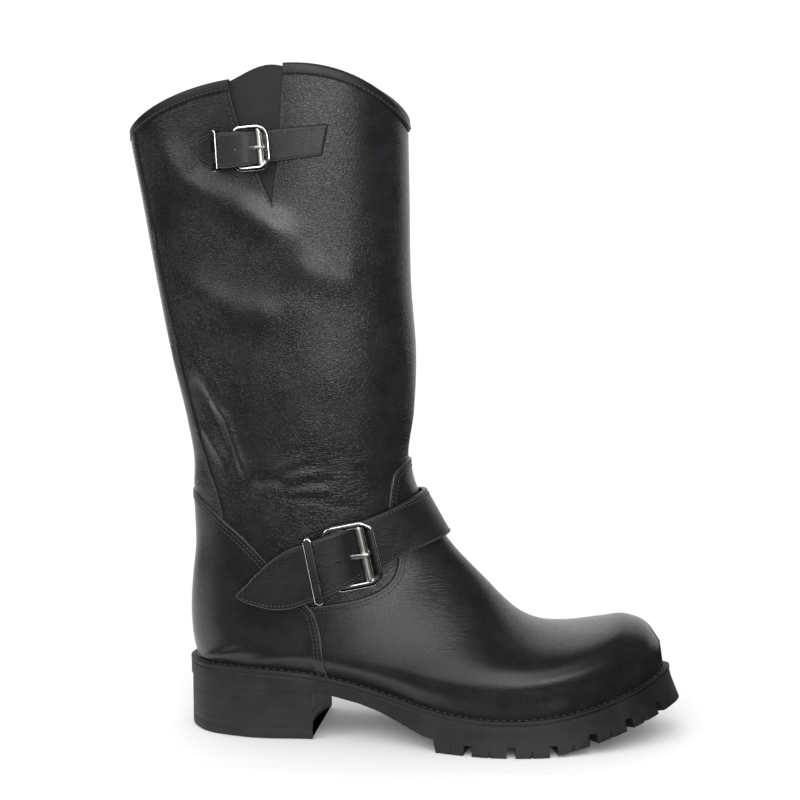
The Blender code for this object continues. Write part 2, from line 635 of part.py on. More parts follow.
ankle_knots = [row[0] for row in ANKLE_STRAP]
ankle_read = curve(ankle_knots, [row[1:] for row in ANKLE_STRAP])
lean_row = ankle_hits(-62.0, *ankle_read(-62.0), 0.0)
ANKLE_WAY = (lean_row[2] - lean_row[0]) / (lean_row[2] - lean_row[0])[2] - np.array([ANKLE_LEAN, 0.0, 0.0])
ANKLE_WAY = ANKLE_WAY / np.linalg.norm(ANKLE_WAY)
ankle_places = np.unique(np.concatenate([ankle_knots, np.linspace(-40, 96, 18)]))
ankle_grids = [[ankle_row(b, extra) for b in ankle_places] for extra in (ANKLE_THICK, 0.0)]
ankle_strap = shell("ankle_strap", *map(np.array, ankle_grids), "strap_leather")
top_read = curve([row[0] for row in TOP_STRAP], [row[1:] for row in TOP_STRAP])
top_places = [row[0] for row in TOP_STRAP]
top_grids = [[top_row(x, *top_read(x), extra) for x in top_places] for extra in (TOP_THICK, 0.0)]
top_strap = shell("top_strap", *map(np.array, top_grids), "strap_leather")


def outline_rounded(half_a, half_b, radius, steps):
    """Rounded rectangle about the origin, as points with the way along it."""
    found = []
    for k, (sa, sb) in enumerate(((1, 1), (-1, 1), (-1, -1), (1, -1))):
        for turn in np.linspace(0, np.pi / 2, steps):
            angle = turn + k * np.pi / 2
            a = sa * (half_a - radius) + radius * np.cos(angle)
            b = sb * (half_b - radius) + radius * np.sin(angle)
            found.append((a, b))
    return np.array(found)


def circle(radius, sides, start=0.0, stop=2 * np.pi):
    turns = np.linspace(start, stop, sides)
    return np.column_stack([radius * np.cos(turns), radius * np.sin(turns)])


def buckle(name, strap, rear, front, across, half, arm, pin, roller, prong, middle):
    """Roller buckle from the middles of its two bars, with its prong and the leather loop that holds it."""
    rear, front = np.array(rear), np.array(front)
    ahead = front - rear
    length = np.linalg.norm(ahead)
    ahead = ahead / length
    out = np.cross(ahead, across)
    out = out / np.linalg.norm(out)
    out = out * np.sign(-out[1])
    wide = np.cross(out, ahead)
    wide = wide * np.sign(wide[2])

    def place(a, b, n):
        return rear + a * ahead + b * wide + n * out

    path = outline_rounded(length / 2, half, 3.6, 4)
    rings = []
    for k, (a, b) in enumerate(path):
        way = path[(k + 1) % len(path)] - path[k - 1]
        normal = np.array([way[1], -way[0]]) / np.hypot(*way)
        on_bar = abs(b) < half - 2.0
        thick = (pin, pin) if on_bar else arm
        rings.append([
            place(length / 2 + a + normal[0] * thick[0] * c, b + normal[1] * thick[0] * c, thick[1] * s)
            for c, s in circle(1.0, 9)[:-1]
        ])
    tube(name + "_buckle_frame", rings, "nickel", closed=True)

    bore = pin + 0.25
    reach_b = half - 3.8
    rings = []
    for c, s in circle(1.0, 13)[:-1]:
        rings.append([place(length + r * c, b, r * s) for r, b in (
            (bore, -reach_b), (roller, -reach_b), (roller, reach_b), (bore, reach_b))])
    tube(name + "_buckle_roller", rings, "nickel", closed=True)

    thin = prong[1]
    spine = [
        (bore + 1.0, 0.1), (middle * length, 0.1),
        (length - 0.4, roller + 0.3 + thin), (length + roller, roller + 0.2 + thin),
    ]
    upper_edge = [(a, n + thin) for a, n in spine]
    lower_edge = [(a, n - thin) for a, n in spine[::-1]]
    hook = [(c, s) for c, s in circle(bore + 1.3, 9, np.radians(-45), np.radians(-235))]
    hook += [(c, s) for c, s in circle(bore, 10, np.radians(-235), np.radians(55))]
    hook += [(c, s) for c, s in circle(bore + 1.3, 2, np.radians(60), np.radians(45))]
    outline = upper_edge[1:] + lower_edge[:-1] + hook
    rings = [[place(a, b, n) for a, n in outline] for b in (-prong[0], prong[0])]
    tube(name + "_buckle_prong", rings, "nickel")
    slot_a, slot_b = 0.27 * length, length - roller - 0.4
    slot = [(slot_a, -14.0), (slot_b, -14.0), (slot_b, 14.0), (slot_a, 14.0)]
    wide_slot = prong[0] + 0.4
    cut(strap, tube("cutter", [[place(a, b, n) for a, n in slot] for b in (-wide_slot, wide_slot)]))

    leather, ring = 1.0, bore
    tail = -max(6.4, length * 0.26)
    loop_out = [(c, s) for c, s in circle(ring + leather, 9, np.radians(-90), np.radians(90))]
    loop_in = [(c, s) for c, s in circle(ring, 9, np.radians(90), np.radians(-90))]
    outline = [(tail, -ring - leather)] + loop_out + [(tail / 2, ring + leather), (tail / 2, ring)]
    outline += loop_in + [(tail, -ring)]
    rings = [[place(a, b, n) for a, n in outline] for b in (-half + 5.2, half - 5.2)]
    billet = tube(name + "_billet", rings, "strap_leather")
    slot = [(-4.4, -9.0), (9.0, -9.0), (9.0, 9.0), (-4.4, 9.0)]
    cut(billet, tube("cutter", [[place(a, b, n) for a, n in slot] for b in (-wide_slot, wide_slot)]))


def keeper(name, low, high, thick, along, half, bar, wide):
    """Flat metal loop around a strap, from the middles of the strap's two faces."""
    low, high, along = np.array(low), np.array(high), np.array(along)
    along = along / np.linalg.norm(along)
    out = high - low
    out = out - along * (out @ along)
    out = out / np.linalg.norm(out)
    across = np.cross(out, along)
    bottom, top = -thick, (high - low) @ out + 2 * GAP
    middle, tall = (bottom + top) / 2, (top - bottom) / 2
    path = outline_rounded(half, tall + bar, 1.4, 3)
    inner = outline_rounded(half - bar, tall, 0.5, 3)
    rings = []
    for (ob, on), (ib, inn) in zip(path, inner):
        rings.append([low + a * along + b * across + (middle + n) * out for a, b, n in (
            (-wide, ob, on), (wide, ob, on), (wide, ib, inn), (-wide, ib, inn))])
    tube(name, rings, "nickel", closed=True)


def ankle_middle(bearing, extra):
    return ankle_row(bearing, extra)[1]


def top_middle(x, extra):
    return top_row(x, *top_read(x), extra)[1]


buckle(
    "ankle", ankle_strap, ankle_middle(-76.0, -3.4) + (0.0, 0.0, 0.6),
    ankle_middle(-49.0, ANKLE_THICK + 4.0) - (0.0, 0.0, 1.2), ANKLE_WAY,
    half=19.2, arm=(2.0, 1.5), pin=1.2, roller=2.2, prong=(1.4, 0.8), middle=0.56,
)
keeper(
    "ankle_keeper", ankle_middle(-88.0, 0.0), ankle_middle(-88.0, ANKLE_THICK), 2.0,
    ankle_middle(-82.0, 0.0) - ankle_middle(-94.0, 0.0), half=19.0, bar=1.2, wide=3.0,
)
top_lean = top_row(42.0, *top_read(42.0), 0.0)
buckle(
    "top", top_strap, top_middle(34.4, -3.1), top_middle(50.0, TOP_THICK + 2.8), top_lean[2] - top_lean[0],
    half=12.6, arm=(1.7, 1.3), pin=1.0, roller=1.8, prong=(1.1, 0.7), middle=0.5,
)
keeper(
    "top_keeper", top_middle(24.2, 0.0), top_middle(24.2, TOP_THICK), 1.6,
    top_middle(27.0, 0.0) - top_middle(21.4, 0.0), half=11.6, bar=1.0, wide=2.2,
)
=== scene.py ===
import bmesh
import bpy
import numpy as np
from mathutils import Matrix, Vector
from mathutils.bvhtree import BVHTree
from mathutils.kdtree import KDTree


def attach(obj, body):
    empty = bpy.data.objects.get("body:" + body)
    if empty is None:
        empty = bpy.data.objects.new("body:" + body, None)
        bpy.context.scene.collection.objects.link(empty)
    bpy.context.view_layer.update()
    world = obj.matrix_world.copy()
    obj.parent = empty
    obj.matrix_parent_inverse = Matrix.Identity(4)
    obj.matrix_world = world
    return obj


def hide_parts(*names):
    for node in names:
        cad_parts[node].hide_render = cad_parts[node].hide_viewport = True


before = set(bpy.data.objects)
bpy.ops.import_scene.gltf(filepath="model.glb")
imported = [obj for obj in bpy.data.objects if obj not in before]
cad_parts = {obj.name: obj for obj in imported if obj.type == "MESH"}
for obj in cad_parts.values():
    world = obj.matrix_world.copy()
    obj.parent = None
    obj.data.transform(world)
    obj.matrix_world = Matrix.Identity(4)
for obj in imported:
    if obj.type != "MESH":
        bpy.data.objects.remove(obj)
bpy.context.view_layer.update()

# Upper: the shaft and foot are one hull of pebbled black leather, lasted over a
# foot form and closed at the back.  A narrow slit opens the collar on the outer
# side.  Sizes are in millimetres, x from the heel to the toe, z up from the floor.
MM = 0.001
HEEL_MID = 36.0         # x of the boot's origin, under the middle of the heel
GAP = 0.3               # clearance between pieces
WALL = 2.0              # leather and lining together
LEDGE = 5.0             # width of the welt outside the upper
ROUND = 0.5523          # handle of a cubic curve that follows a quarter circle
TUCK = 0.4              # how far the wall above the welt keeps its greatest width
BACK_LOW, BACK_HIGH = 41.0, 336.0     # heights on the back line where a section's end is 0 and -1
COLLAR_DIP = 0.17       # share by which the outer side's collar falls behind the slit
COLLAR_MEDIAL = 0.85    # rise of the inner side's collar as a share of the outer one
COLLAR_POWER = 1.42     # how steeply the collar climbs from the front and back
FOLD_END = 0.2          # height of a fold at its ends as a share of its middle
RIDGE_CALM = 16.0       # folds fade out this near to the middle of the front and back
SEAT_CLEAR = 0.1
EDGE = np.array([
    # x     lateral  medial
    (-1.4, 0.0, 0.0), (8.0, 20.5, 20.0), (33.0, 31.8, 31.2), (75.0, 33.4, 31.0),
    (112.0, 38.5, 29.8), (143.0, 48.8, 37.5), (174.0, 54.8, 46.5), (205.0, 52.2, 48.8),
    (238.0, 39.6, 40.4), (261.0, 22.4, 25.6), (274.5, -1.5, 1.5),
])
SEAT = [
    # x, height of the welt's top
    (-1.0, 40.5), (38.0, 40.6), (75.0, 37.4), (92.0, 34.4), (112.0, 29.8), (135.0, 24.4),
    (157.0, 20.8), (180.0, 19.8), (205.0, 20.8), (225.0, 23.9), (245.0, 28.9), (261.0, 34.0),
    (275.0, 39.6),
]
BACK = [
    # height, x of the back line
    (41.0, 3.7), (55.0, 1.6), (70.0, 1.0), (85.0, 1.9), (107.0, 4.2), (125.0, 3.8), (142.0, 3.0),
    (154.0, 3.4), (178.0, -0.2), (212.0, -8.0), (257.0, -16.4), (303.0, -24.2), (336.0, -30.2),
    (346.0, -31.8),
]
SECTIONS = np.array([
    # front_x front_y front_z wide_x wide_z lateral medial  end    full  rise
    (124.6, 0.0, 345.6, 58.0, 340.0, 40.0, 40.0, -1.0105, 0.560, 36.7),
    (125.4, 0.0, 304.0, 58.0, 302.0, 40.2, 40.0, -0.880, 0.560, 19.0),
    (126.2, 0.0, 258.0, 59.0, 256.0, 40.0, 39.6, -0.725, 0.560, 6.0),
    (129.2, 0.0, 214.0, 61.0, 210.0, 39.4, 38.8, -0.560, 0.560, 0.0),
    (127.8, 0.0, 182.0, 62.0, 175.0, 38.0, 37.4, -0.436, 0.560, 0.0),
    (124.8, 0.0, 158.0, 61.0, 148.0, 36.6, 36.0, -0.345, 0.555, 0.0),
    (126.4, 0.2, 146.0, 60.0, 130.0, 35.6, 34.6, -0.260, 0.550, 0.0),
    (130.8, 0.5, 134.4, 58.0, 111.0, 34.4, 33.0, -0.175, 0.545, 0.0),
    (136.8, 0.8, 123.4, 57.0, 91.0, 33.0, 31.6, -0.090, 0.540, 0.0),
    (143.2, 1.2, 113.6, 56.0, 71.0, 31.8, 30.4, 0.000, 0.535, 0.0),
    (150.4, 1.6, 104.2, 64.0, 61.0, 31.6, 30.0, 0.085, 0.530, 0.0),
    (158.6, 2.0, 95.4, 78.0, 54.5, 32.4, 29.6, 0.190, 0.530, 0.0),
    (168.0, 2.4, 85.8, 97.0, 49.5, 35.2, 30.2, 0.300, 0.535, 0.0),
    (177.6, 2.8, 75.6, 119.0, 45.0, 39.6, 32.6, 0.400, 0.545, 0.0),
    (188.4, 3.0, 66.4, 143.0, 40.5, 45.6, 37.8, 0.500, 0.560, 0.0),
    (202.0, 3.0, 60.4, 169.0, 37.5, 50.4, 43.4, 0.590, 0.580, 0.0),
    (219.0, 2.8, 59.4, 197.0, 37.0, 50.0, 45.8, 0.685, 0.600, 0.0),
    (236.0, 2.4, 62.2, 223.0, 39.6, 43.4, 42.6, 0.775, 0.620, 0.0),
    (250.4, 2.0, 64.6, 244.0, 43.2, 32.4, 33.4, 0.853, 0.630, 0.0),
    (261.4, 1.8, 60.2, 258.6, 45.6, 19.6, 22.4, 0.915, 0.620, 0.0),
    (267.6, 1.6, 51.6, 266.6, 44.0, 8.2, 11.2, 0.963, 0.600, 0.0),
])
FOLDS = [
    # height, half width, places along it on the outer side: x, z
    (1.7, 2.6, [(12.5, 203.0), (16.8, 195.6), (21.0, 189.0), (26.0, 182.6), (30.4, 168.8), (34.9, 155.7),
                (38.5, 146.5)]),
    (-1.1, 3.0, [(12.0, 196.0), (16.0, 189.0), (21.0, 176.2), (26.0, 164.1), (30.6, 152.9), (34.0, 145.0)]),
    (1.3, 3.3, [(10.0, 182.0), (13.0, 174.2), (17.4, 168.1), (22.4, 161.0), (25.7, 154.0)]),
    (-1.2, 3.6, [(38.0, 147.4), (46.4, 149.4), (53.6, 149.8), (62.0, 147.0)]),
    (0.6, 2.2, [(49.0, 152.6), (59.8, 158.6), (72.0, 164.0)]),
    (-0.45, 2.0, [(53.0, 150.6), (64.0, 156.0), (76.5, 159.4)]),
    (0.5, 2.0, [(56.0, 147.6), (66.0, 152.2), (80.0, 154.4)]),
    (-0.45, 2.0, [(60.0, 145.0), (72.0, 148.4), (86.0, 149.0)]),
    (0.4, 2.0, [(62.0, 142.0), (74.0, 144.0), (88.0, 143.6)]),
    (-0.4, 2.2, [(50.0, 141.4), (62.0, 139.8), (76.0, 138.6), (90.0, 134.4)]),
    (-0.3, 2.0, [(82.0, 135.4), (92.0, 134.6), (102.0, 131.6)]),
    (-0.45, 2.0, [(98.0, 156.0), (106.0, 153.6), (113.0, 148.6)]),
    (0.4, 2.2, [(96.0, 160.0), (105.0, 158.0), (113.0, 153.0)]),
    (-0.8, 3.4, [(112.0, 205.0), (114.0, 190.0), (117.5, 172.0), (116.5, 158.0)]),
    (3.0, 9.0, [(-12.0, 342.0), (-4.0, 327.0), (6.0, 314.5), (19.5, 308.4), (33.0, 301.5), (46.5, 293.6),
                (57.5, 286.6), (70.0, 281.0)]),
    (1.5, 9.0, [(60.0, 273.0), (75.0, 266.0), (90.0, 262.0), (106.0, 262.0)]),
    (2.0, 10.0, [(0.0, 259.0), (10.0, 254.0), (22.0, 248.6), (34.0, 244.6), (48.0, 242.6), (62.0, 243.0)]),
    (0.9, 4.5, [(4.0, 217.0), (10.0, 210.5), (20.2, 200.5), (28.7, 190.8)]),
    (-0.8, 3.6, [(4.0, 203.0), (10.0, 197.0), (16.0, 191.0)]),
]
SWELLS = [
    # height, x, z, reach along x, reach along z on the outer side
    (-1.2, 14.0, 229.0, 13.0, 15.0),
    (-0.6, 62.0, 222.0, 18.0, 16.0),
    (0.6, 84.0, 205.0, 16.0, 20.0),
    (-0.6, 48.0, 190.0, 14.0, 16.0),
    (0.7, 70.0, 178.0, 16.0, 12.0),
]
MEDIAL_SHIFT = (4.0, -5.0)     # the inner side folds a little further forward and lower


def curve(knots, values):
    """Smooth curve through rows of values at rising knots."""
    knots = np.asarray(knots, float)
    values = np.asarray(values, float).reshape(len(knots), -1)
    step = np.diff(knots)
    rise = np.diff(values, axis=0) / step[:, None]
    slope = np.empty_like(values)
    near, far = step[:-1, None], step[1:, None]
    slope[1:-1] = (rise[:-1] * far + rise[1:] * near) / (near + far)
    slope[0], slope[-1] = rise[0], rise[-1]

    def at(place):
        place = np.clip(np.asarray(place, float), knots[0], knots[-1])
        k = np.clip(np.searchsorted(knots, place, side="right") - 1, 0, len(step) - 1)
        h = step[k][..., None]
        w = (place - knots[k])[..., None] / h
        start = (1 + 2 * w) * (1 - w) ** 2 * values[k] + w * (1 - w) ** 2 * h * slope[k]
        return start + w * w * (3 - 2 * w) * values[k + 1] + w * w * (w - 1) * h * slope[k + 1]

    return at


def smooth_table(rows):
    """Smooth reading of a two-column table."""
    columns = np.asarray(rows, float).T
    shape = curve(columns[0], columns[1])
    return lambda place: shape(place)[..., 0]


def way_to(points):
    """Length of the way along a line to each of its points."""
    return np.concatenate([[0], np.cumsum(np.linalg.norm(np.diff(points, axis=0), axis=1))])


def unit(vectors):
    """Vectors at a length of one."""
    return vectors / np.linalg.norm(vectors, axis=-1, keepdims=True)


seat, back_line = smooth_table(SEAT), smooth_table(BACK)
loop = np.vstack([
    np.column_stack([EDGE[:, 0], -EDGE[:, 1]]),
    np.column_stack([EDGE[:, 0], EDGE[:, 2]])[-2:0:-1],
])
loop = np.vstack([loop[-3:], loop, loop[:4]])
reach = way_to(loop)
loop_curve = curve(reach, loop)
SIDES = {}
for side, first in ((-1, reach[3]), (1, reach[-4])):
    points = loop_curve(np.linspace(first, reach[2 + len(EDGE)], 3000))
    way = unit(np.gradient(points, axis=0))
    out = np.column_stack([-side * way[:, 1], side * way[:, 0]])
    length = way_to(points)
    SIDES[side] = (length / length[-1], points, way, out)


def rim(part, side, inset):
    """Place on the welt's edge at a part of the way to the toe, moved in, and its direction."""
    parts, points, way, out = SIDES[side]
    read = [np.interp(part, parts, column) for column in (*points.T, *way.T, *out.T)]
    return read[0] - inset * read[4], read[1] - inset * read[5], read[2], read[3]


moves = np.hypot(*np.diff(SECTIONS[:, [0, 2]], axis=0).T)
moves = moves + np.hypot(*np.diff(SECTIONS[:, [3, 4]], axis=0).T)
KNOTS = np.concatenate([[0], np.cumsum(moves)])
section = curve(KNOTS, SECTIONS)
HEEL_KNOT = KNOTS[9]     # the section that ends at the foot of the back line


def ease(value):
    """Soft step from 0 to 1."""
    value = np.clip(value, 0, 1)
    return value * value * (3 - 2 * value)


def surface(t, u, side):
    """Outside of the bare upper; u is 0 at the ridge, 1 at the widest place, 2 at the end."""
    t, u = np.broadcast_arrays(np.asarray(t, float), np.asarray(u, float))
    fx, fy, fz, wx, wz, lateral, medial, end, full, rise = np.moveaxis(section(t), -1, 0)
    wy = -lateral if side < 0 else medial
    height = BACK_LOW - np.minimum(end, 0) * (BACK_HIGH - BACK_LOW)
    gx, gy, tx, ty = rim(np.clip(end, 0, 1), side, LEDGE)
    on_back = end <= 0
    gz = np.where(on_back, height, seat(gx) + GAP)
    gx = np.where(on_back, back_line(height), gx)
    gy = np.where(on_back, 0.0, gy)
    tx, ty = np.where(on_back, 0.0, -tx), np.where(on_back, -side, -ty)
    lean = np.clip(np.where(end > 0.3, 1.0, np.abs(tx)), 0, 1)
    turn = np.clip((np.abs(wy) - np.abs(gy)) / np.maximum(np.abs(ty), 0.02), 0, np.abs(wx - gx))
    turn = turn * np.sign(wx - gx) * ROUND
    quarter = [
        (np.stack([fx, fy, fz]), np.stack([fx, fy + full * (wy - fy), fz]),
         np.stack([wx + full * (fx - wx), wy, wz + full * (fz - wz)]), np.stack([wx, wy, wz])),
        (np.stack([wx, wy, wz]), np.stack([wx + ROUND * (gx - wx), wy, wz + ROUND * (gz - wz)]),
         np.stack([gx - turn * tx, gy - turn * ty + TUCK * lean * (wy - gy), gz + ROUND * lean * (wz - gz)]),
         np.stack([gx, gy, gz])),
    ]
    found = []
    for (a, b, c, d), w in zip(quarter, (np.clip(u, 0, 1), np.clip(u - 1, 0, 1))):
        found.append((1 - w) ** 3 * a + 3 * w * (1 - w) ** 2 * b + 3 * w * w * (1 - w) * c + w ** 3 * d)
    place = np.where(u <= 1, found[0], found[1])
    crest = 1 - COLLAR_DIP * ease((u - 1.0) / 0.2) if side < 0 else COLLAR_MEDIAL
    place[2] += rise * crest * np.abs(np.sin(np.pi * np.clip(u, 0, 2) / 2)) ** COLLAR_POWER
    return np.moveaxis(place, 0, -1)


def relief(spots, side):
    """Height of the folds, swells and hollows of the leather on one side."""
    x, z = spots[..., 0], spots[..., 2]
    if side > 0:
        x, z = x - MEDIAL_SHIFT[0], z - MEDIAL_SHIFT[1]
    height = np.zeros(x.shape)
    for tall, wide, line in FOLDS:
        line = np.array(line)
        starts = way_to(line)
        nearest, along = np.full(x.shape, 1e9), np.zeros(x.shape)
        for (ax, az), (bx, bz), start, length in zip(line, line[1:], starts, np.diff(starts)):
            w = np.clip(((x - ax) * (bx - ax) + (z - az) * (bz - az)) / length ** 2, 0, 1)
            far = np.hypot(x - ax - w * (bx - ax), z - az - w * (bz - az))
            along = np.where(far < nearest, (start + w * length) / starts[-1], along)
            nearest = np.minimum(nearest, far)
        fade = FOLD_END + (1 - FOLD_END) * ease(4 * np.minimum(along, 1 - along))
        height += tall * np.exp(-(nearest / wide) ** 2) * fade
    for tall, middle_x, middle_z, reach_x, reach_z in SWELLS:
        height += tall * np.exp(-((x - middle_x) / reach_x) ** 2 - ((z - middle_z) / reach_z) ** 2)
    return height * ease(np.abs(spots[..., 1]) / RIDGE_CALM)


def skin(t, u, side, off):
    """The upper's surface moved out along its normal, with its folds."""
    t, u = np.broadcast_arrays(np.asarray(t, float), np.asarray(u, float))
    small_t, small_u = 0.5, 0.02
    later = np.minimum(t + small_t, np.where(t <= HEEL_KNOT, HEEL_KNOT, KNOTS[-1]))
    ahead = surface(later, u, side) - surface(np.maximum(t - small_t, 0), u, side)
    across = surface(t, np.minimum(u + small_u, 2), side) - surface(t, np.maximum(u - small_u, 0), side)
    normal = np.cross(ahead, across) * side
    on_seam = (u <= 0) | ((u >= 2) & (t <= HEEL_KNOT))
    normal[..., 1] = np.where(on_seam, 0.0, normal[..., 1])
    at_welt = (u >= 2) & (t >= HEEL_KNOT)
    part = np.clip(section(t)[..., 7], 0, 1)
    wide, plain = rim(part, side, -1.0), rim(part, side, 0.0)
    for axis, value in enumerate((wide[0] - plain[0], wide[1] - plain[1], 0.0)):
        normal[..., axis] = np.where(at_welt, value, normal[..., axis])
    base = surface(t, u, side)
    place = base + (np.asarray(off, float) + relief(base, side))[..., None] * unit(normal)
    place[..., 2] = np.maximum(place[..., 2], seat(place[..., 0]) + SEAT_CLEAR)
    return place


def sheet(outer, inner, faces):
    """Points and faces of a closed leather sheet from the faces of its outer side."""
    _, first, numbers = np.unique(np.round(outer, 3), axis=0, return_index=True, return_inverse=True)
    numbers = numbers.ravel()
    count = len(first)
    kept = []
    for face in faces:
        face = [int(numbers[v]) for v in face]
        face = [v for k, v in enumerate(face) if v != face[k - 1]]
        if len(set(face)) == len(face) > 2:
            kept.append(face)
    edges = {(f[k - 1], f[k]) for f in kept for k in range(len(f))}
    border = sorted((b, a, a + count, b + count) for a, b in edges if (b, a) not in edges)
    kept += [[v + count for v in reversed(f)] for f in kept] + border
    return np.concatenate([outer[first], inner[first]]), kept


def quads(rows, columns, open_after=()):
    """Faces of a grid of points; none after the columns named."""
    number = np.arange(rows * columns).reshape(rows, columns)
    keep = [j for j in range(columns - 1) if j not in open_after]
    after = np.add(keep, 1)
    corners = (number[:-1, keep], number[:-1, after], number[1:, after], number[1:, keep])
    return np.stack([corner.T.ravel() for corner in corners], axis=1).tolist()


def closed_sheet(outer, inner, open_after=()):
    """Closed sheet between two grids."""
    return sheet(outer.reshape(-1, 3), inner.reshape(-1, 3), quads(*outer.shape[:2], open_after))


def metres(points):
    """Places in the frame, in metres, of places on the boot in millimetres."""
    return (np.asarray(points, float) - (HEEL_MID, 0, 0)) * MM


def millimetres(points):
    """Places on the boot, in millimetres, of places in the frame in metres."""
    return np.asarray(points, float) / MM + (HEEL_MID, 0, 0)


def piece(name, points, faces, material, slot, *nodes):
    """Smooth mesh from points in millimetres, riding on the boot in place of CAD nodes."""
    mesh = bpy.data.meshes.new(name)
    mesh.from_pydata(metres(points).tolist(), [], [list(map(int, face)) for face in faces])
    body = bmesh.new()
    body.from_mesh(mesh)
    bmesh.ops.recalc_face_normals(body, faces=body.faces)
    if body.calc_volume(signed=True) < 0:
        bmesh.ops.reverse_faces(body, faces=body.faces)
    body.to_mesh(mesh)
    body.free()
    mesh.shade_smooth()
    mesh.set_sharp_from_angle(angle=np.radians(50))
    thing = bpy.data.objects.new(name, mesh)
    bpy.context.scene.collection.objects.link(thing)
    mesh.materials.append(material)
    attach(thing, "root")
    if nodes:
        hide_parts(*nodes)
    return thing


class Reading:
    """A value on the surface of a material, for sums written as Python."""

    def __init__(self, tree, socket=None):
        self.tree = tree
        self.socket = socket

    def node(self, kind, settings=None, sockets=None, out=0):
        """Any node: its type, its settings, then the values or links of its sockets."""
        made = self.tree.nodes.new("ShaderNode" + kind)
        for name, value in (settings or {}).items():
            setattr(made, name, value)
        for name, value in (sockets or {}).items():
            if isinstance(value, Reading):
                self.tree.links.new(value.socket, made.inputs[name])
            else:
                made.inputs[name].default_value = value
        return Reading(self.tree, made.outputs[out])

    def math(self, operation, *values):
        """Math node on values or readings."""
        return self.node("Math", {"operation": operation}, dict(enumerate(values)))

    def __add__(self, other):
        return self.math("ADD", self, other)

    def __sub__(self, other):
        return self.math("SUBTRACT", self, other)

    def __rsub__(self, other):
        return self.math("SUBTRACT", other, self)

    def __mul__(self, other):
        return self.math("MULTIPLY", self, other)

    __radd__, __rmul__ = __add__, __mul__

    def step(self, low, high):
        """Soft step of this value between two bounds."""
        return self.node("MapRange", {"interpolation_type": "SMOOTHSTEP"}, {0: self, 1: low, 2: high})

    def stretched(self, x, y, z):
        """This place with its axes stretched."""
        return self.node("VectorMath", {"operation": "MULTIPLY"}, {0: self, 1: (x, y, z)})

    def noise(self, scale, detail=2.0, rough=0.5, out=0):
        """Cloudy noise over this place."""
        sockets = {"Vector": self, "Scale": scale, "Detail": detail, "Roughness": rough}
        return self.node("TexNoise", None, sockets, out)

    def cells(self, scale):
        """Distance to the edge of the nearest cell of a pebbled pattern."""
        return self.node("TexVoronoi", {"feature": "DISTANCE_TO_EDGE"}, {"Vector": self, "Scale": scale})

    def bump(self, strength, distance):
        """Normal bent by this height."""
        sockets = {"Strength": strength, "Distance": distance, "Height": self}
        return self.node("Bump", None, sockets, out="Normal")

    def near(self, x, y, z, reach):
        """1 at a place on the boot, in millimetres, fading to 0 at its reach."""
        middle = ((x - HEEL_MID) * MM, y * MM, z * MM)
        far = self.node("VectorMath", {"operation": "DISTANCE"}, {0: self, 1: middle}, out="Value")
        return 1 - far.step(0.25 * reach * MM, reach * MM)

    def colour(self, low, high):
        """Colour between two colours."""
        return self.node("Mix", {"data_type": "RGBA"}, {0: self, 6: (*low, 1.0), 7: (*high, 1.0)}, out=2)


def finish(name, **constants):
    """New material with the constants of its shader; gives the shader and the place on the boot."""
    made = bpy.data.materials.new(name)
    made.use_nodes = True
    shader = made.node_tree.nodes["Principled BSDF"]
    for socket, value in constants.items():
        shader.inputs[socket.replace("_", " ")].default_value = value
    return made, shader, Reading(made.node_tree).node("TexCoord", out="Object")


def join(shader, **readings):
    """Readings that change over the surface, into the shader."""
    for socket, value in readings.items():
        value.tree.links.new(value.socket, shader.inputs[socket.replace("_", " ")])


def leather(name, dark, light, gloss, cell, depth, crease=0.0, zones=(), rubbed=()):
    """Black leather: grain size and depth in millimetres, creased zones and rubbed, shinier spots."""
    made, shader, place = finish(name, Specular_IOR_Level=0.5, Coat_Roughness=0.3, Coat_IOR=1.45)
    sway = (cell * 0.0012,) * 3     # metres, a little over one cell of the grain
    bent = place.node(
        "VectorMath", {"operation": "MULTIPLY_ADD"}, {0: place.noise(380.0, out="Color"), 1: sway, 2: place})
    pebble = bent.stretched(1.0, 1.0, 1.6).cells(1000.0 / cell).step(0.0, 0.34)
    patch = place.noise(24.0, 3.0).step(0.30, 0.62)
    pores = place.noise(2400.0, 2.0)
    height = pebble * (0.3 + 0.7 * patch) * depth + pores * 0.012
    if zones:
        creased = 0.0
        for zone in zones:
            creased = place.near(*zone) + creased
        folds = bent.stretched(0.28, 0.28, 1.7).cells(330.0)
        height = height + folds.step(0.0, 0.3) * creased * crease
    worn = place.noise(70.0, 5.0, 0.6)
    polish = 0.06 + 0.12 * patch
    for spot in rubbed:
        polish = polish + place.near(*spot) * 0.9
    join(
        shader, Base_Color=(worn.step(0.35, 0.75) * 0.6 + pebble * 0.4).colour(dark, light),
        Roughness=gloss + (1 - pebble) * 0.10 + worn * 0.14 - 0.07, Coat_Weight=polish,
        Normal=height.bump(1.0, MM),
    )
    return made


shaft_leather = leather(
    "shaft_leather", (0.0090, 0.0093, 0.0102), (0.0175, 0.0180, 0.0196), 0.22, 1.8, 0.11, 0.10,
    [(75, -37, 147, 40), (105, -30, 150, 28), (78, 36, 142, 42), (20, -30, 172, 24)],
    [(17, -48, 316, 22), (54, -48, 299, 24), (32, -50, 253, 30), (18, -36, 192, 16)],
)
SLIT_TIP = (53.9, 301.5)
SLIT_BACK = smooth_table([
    # height, x
    (301.5, 53.9), (306.8, 51.3), (313.7, 48.0), (320.1, 45.5), (346.2, 35.3), (352.8, 33.2), (360.7, 31.2),
    (384.0, 29.4),
])
SLIT_FRONT = smooth_table([
    # height, x
    (301.5, 53.9), (311.5, 54.9), (322.7, 56.6), (346.3, 58.6), (353.4, 58.9), (364.1, 59.6), (384.0, 60.4),
])


def plumb(x):
    """Upright line at one x."""
    return lambda z: np.full(np.shape(z), x)


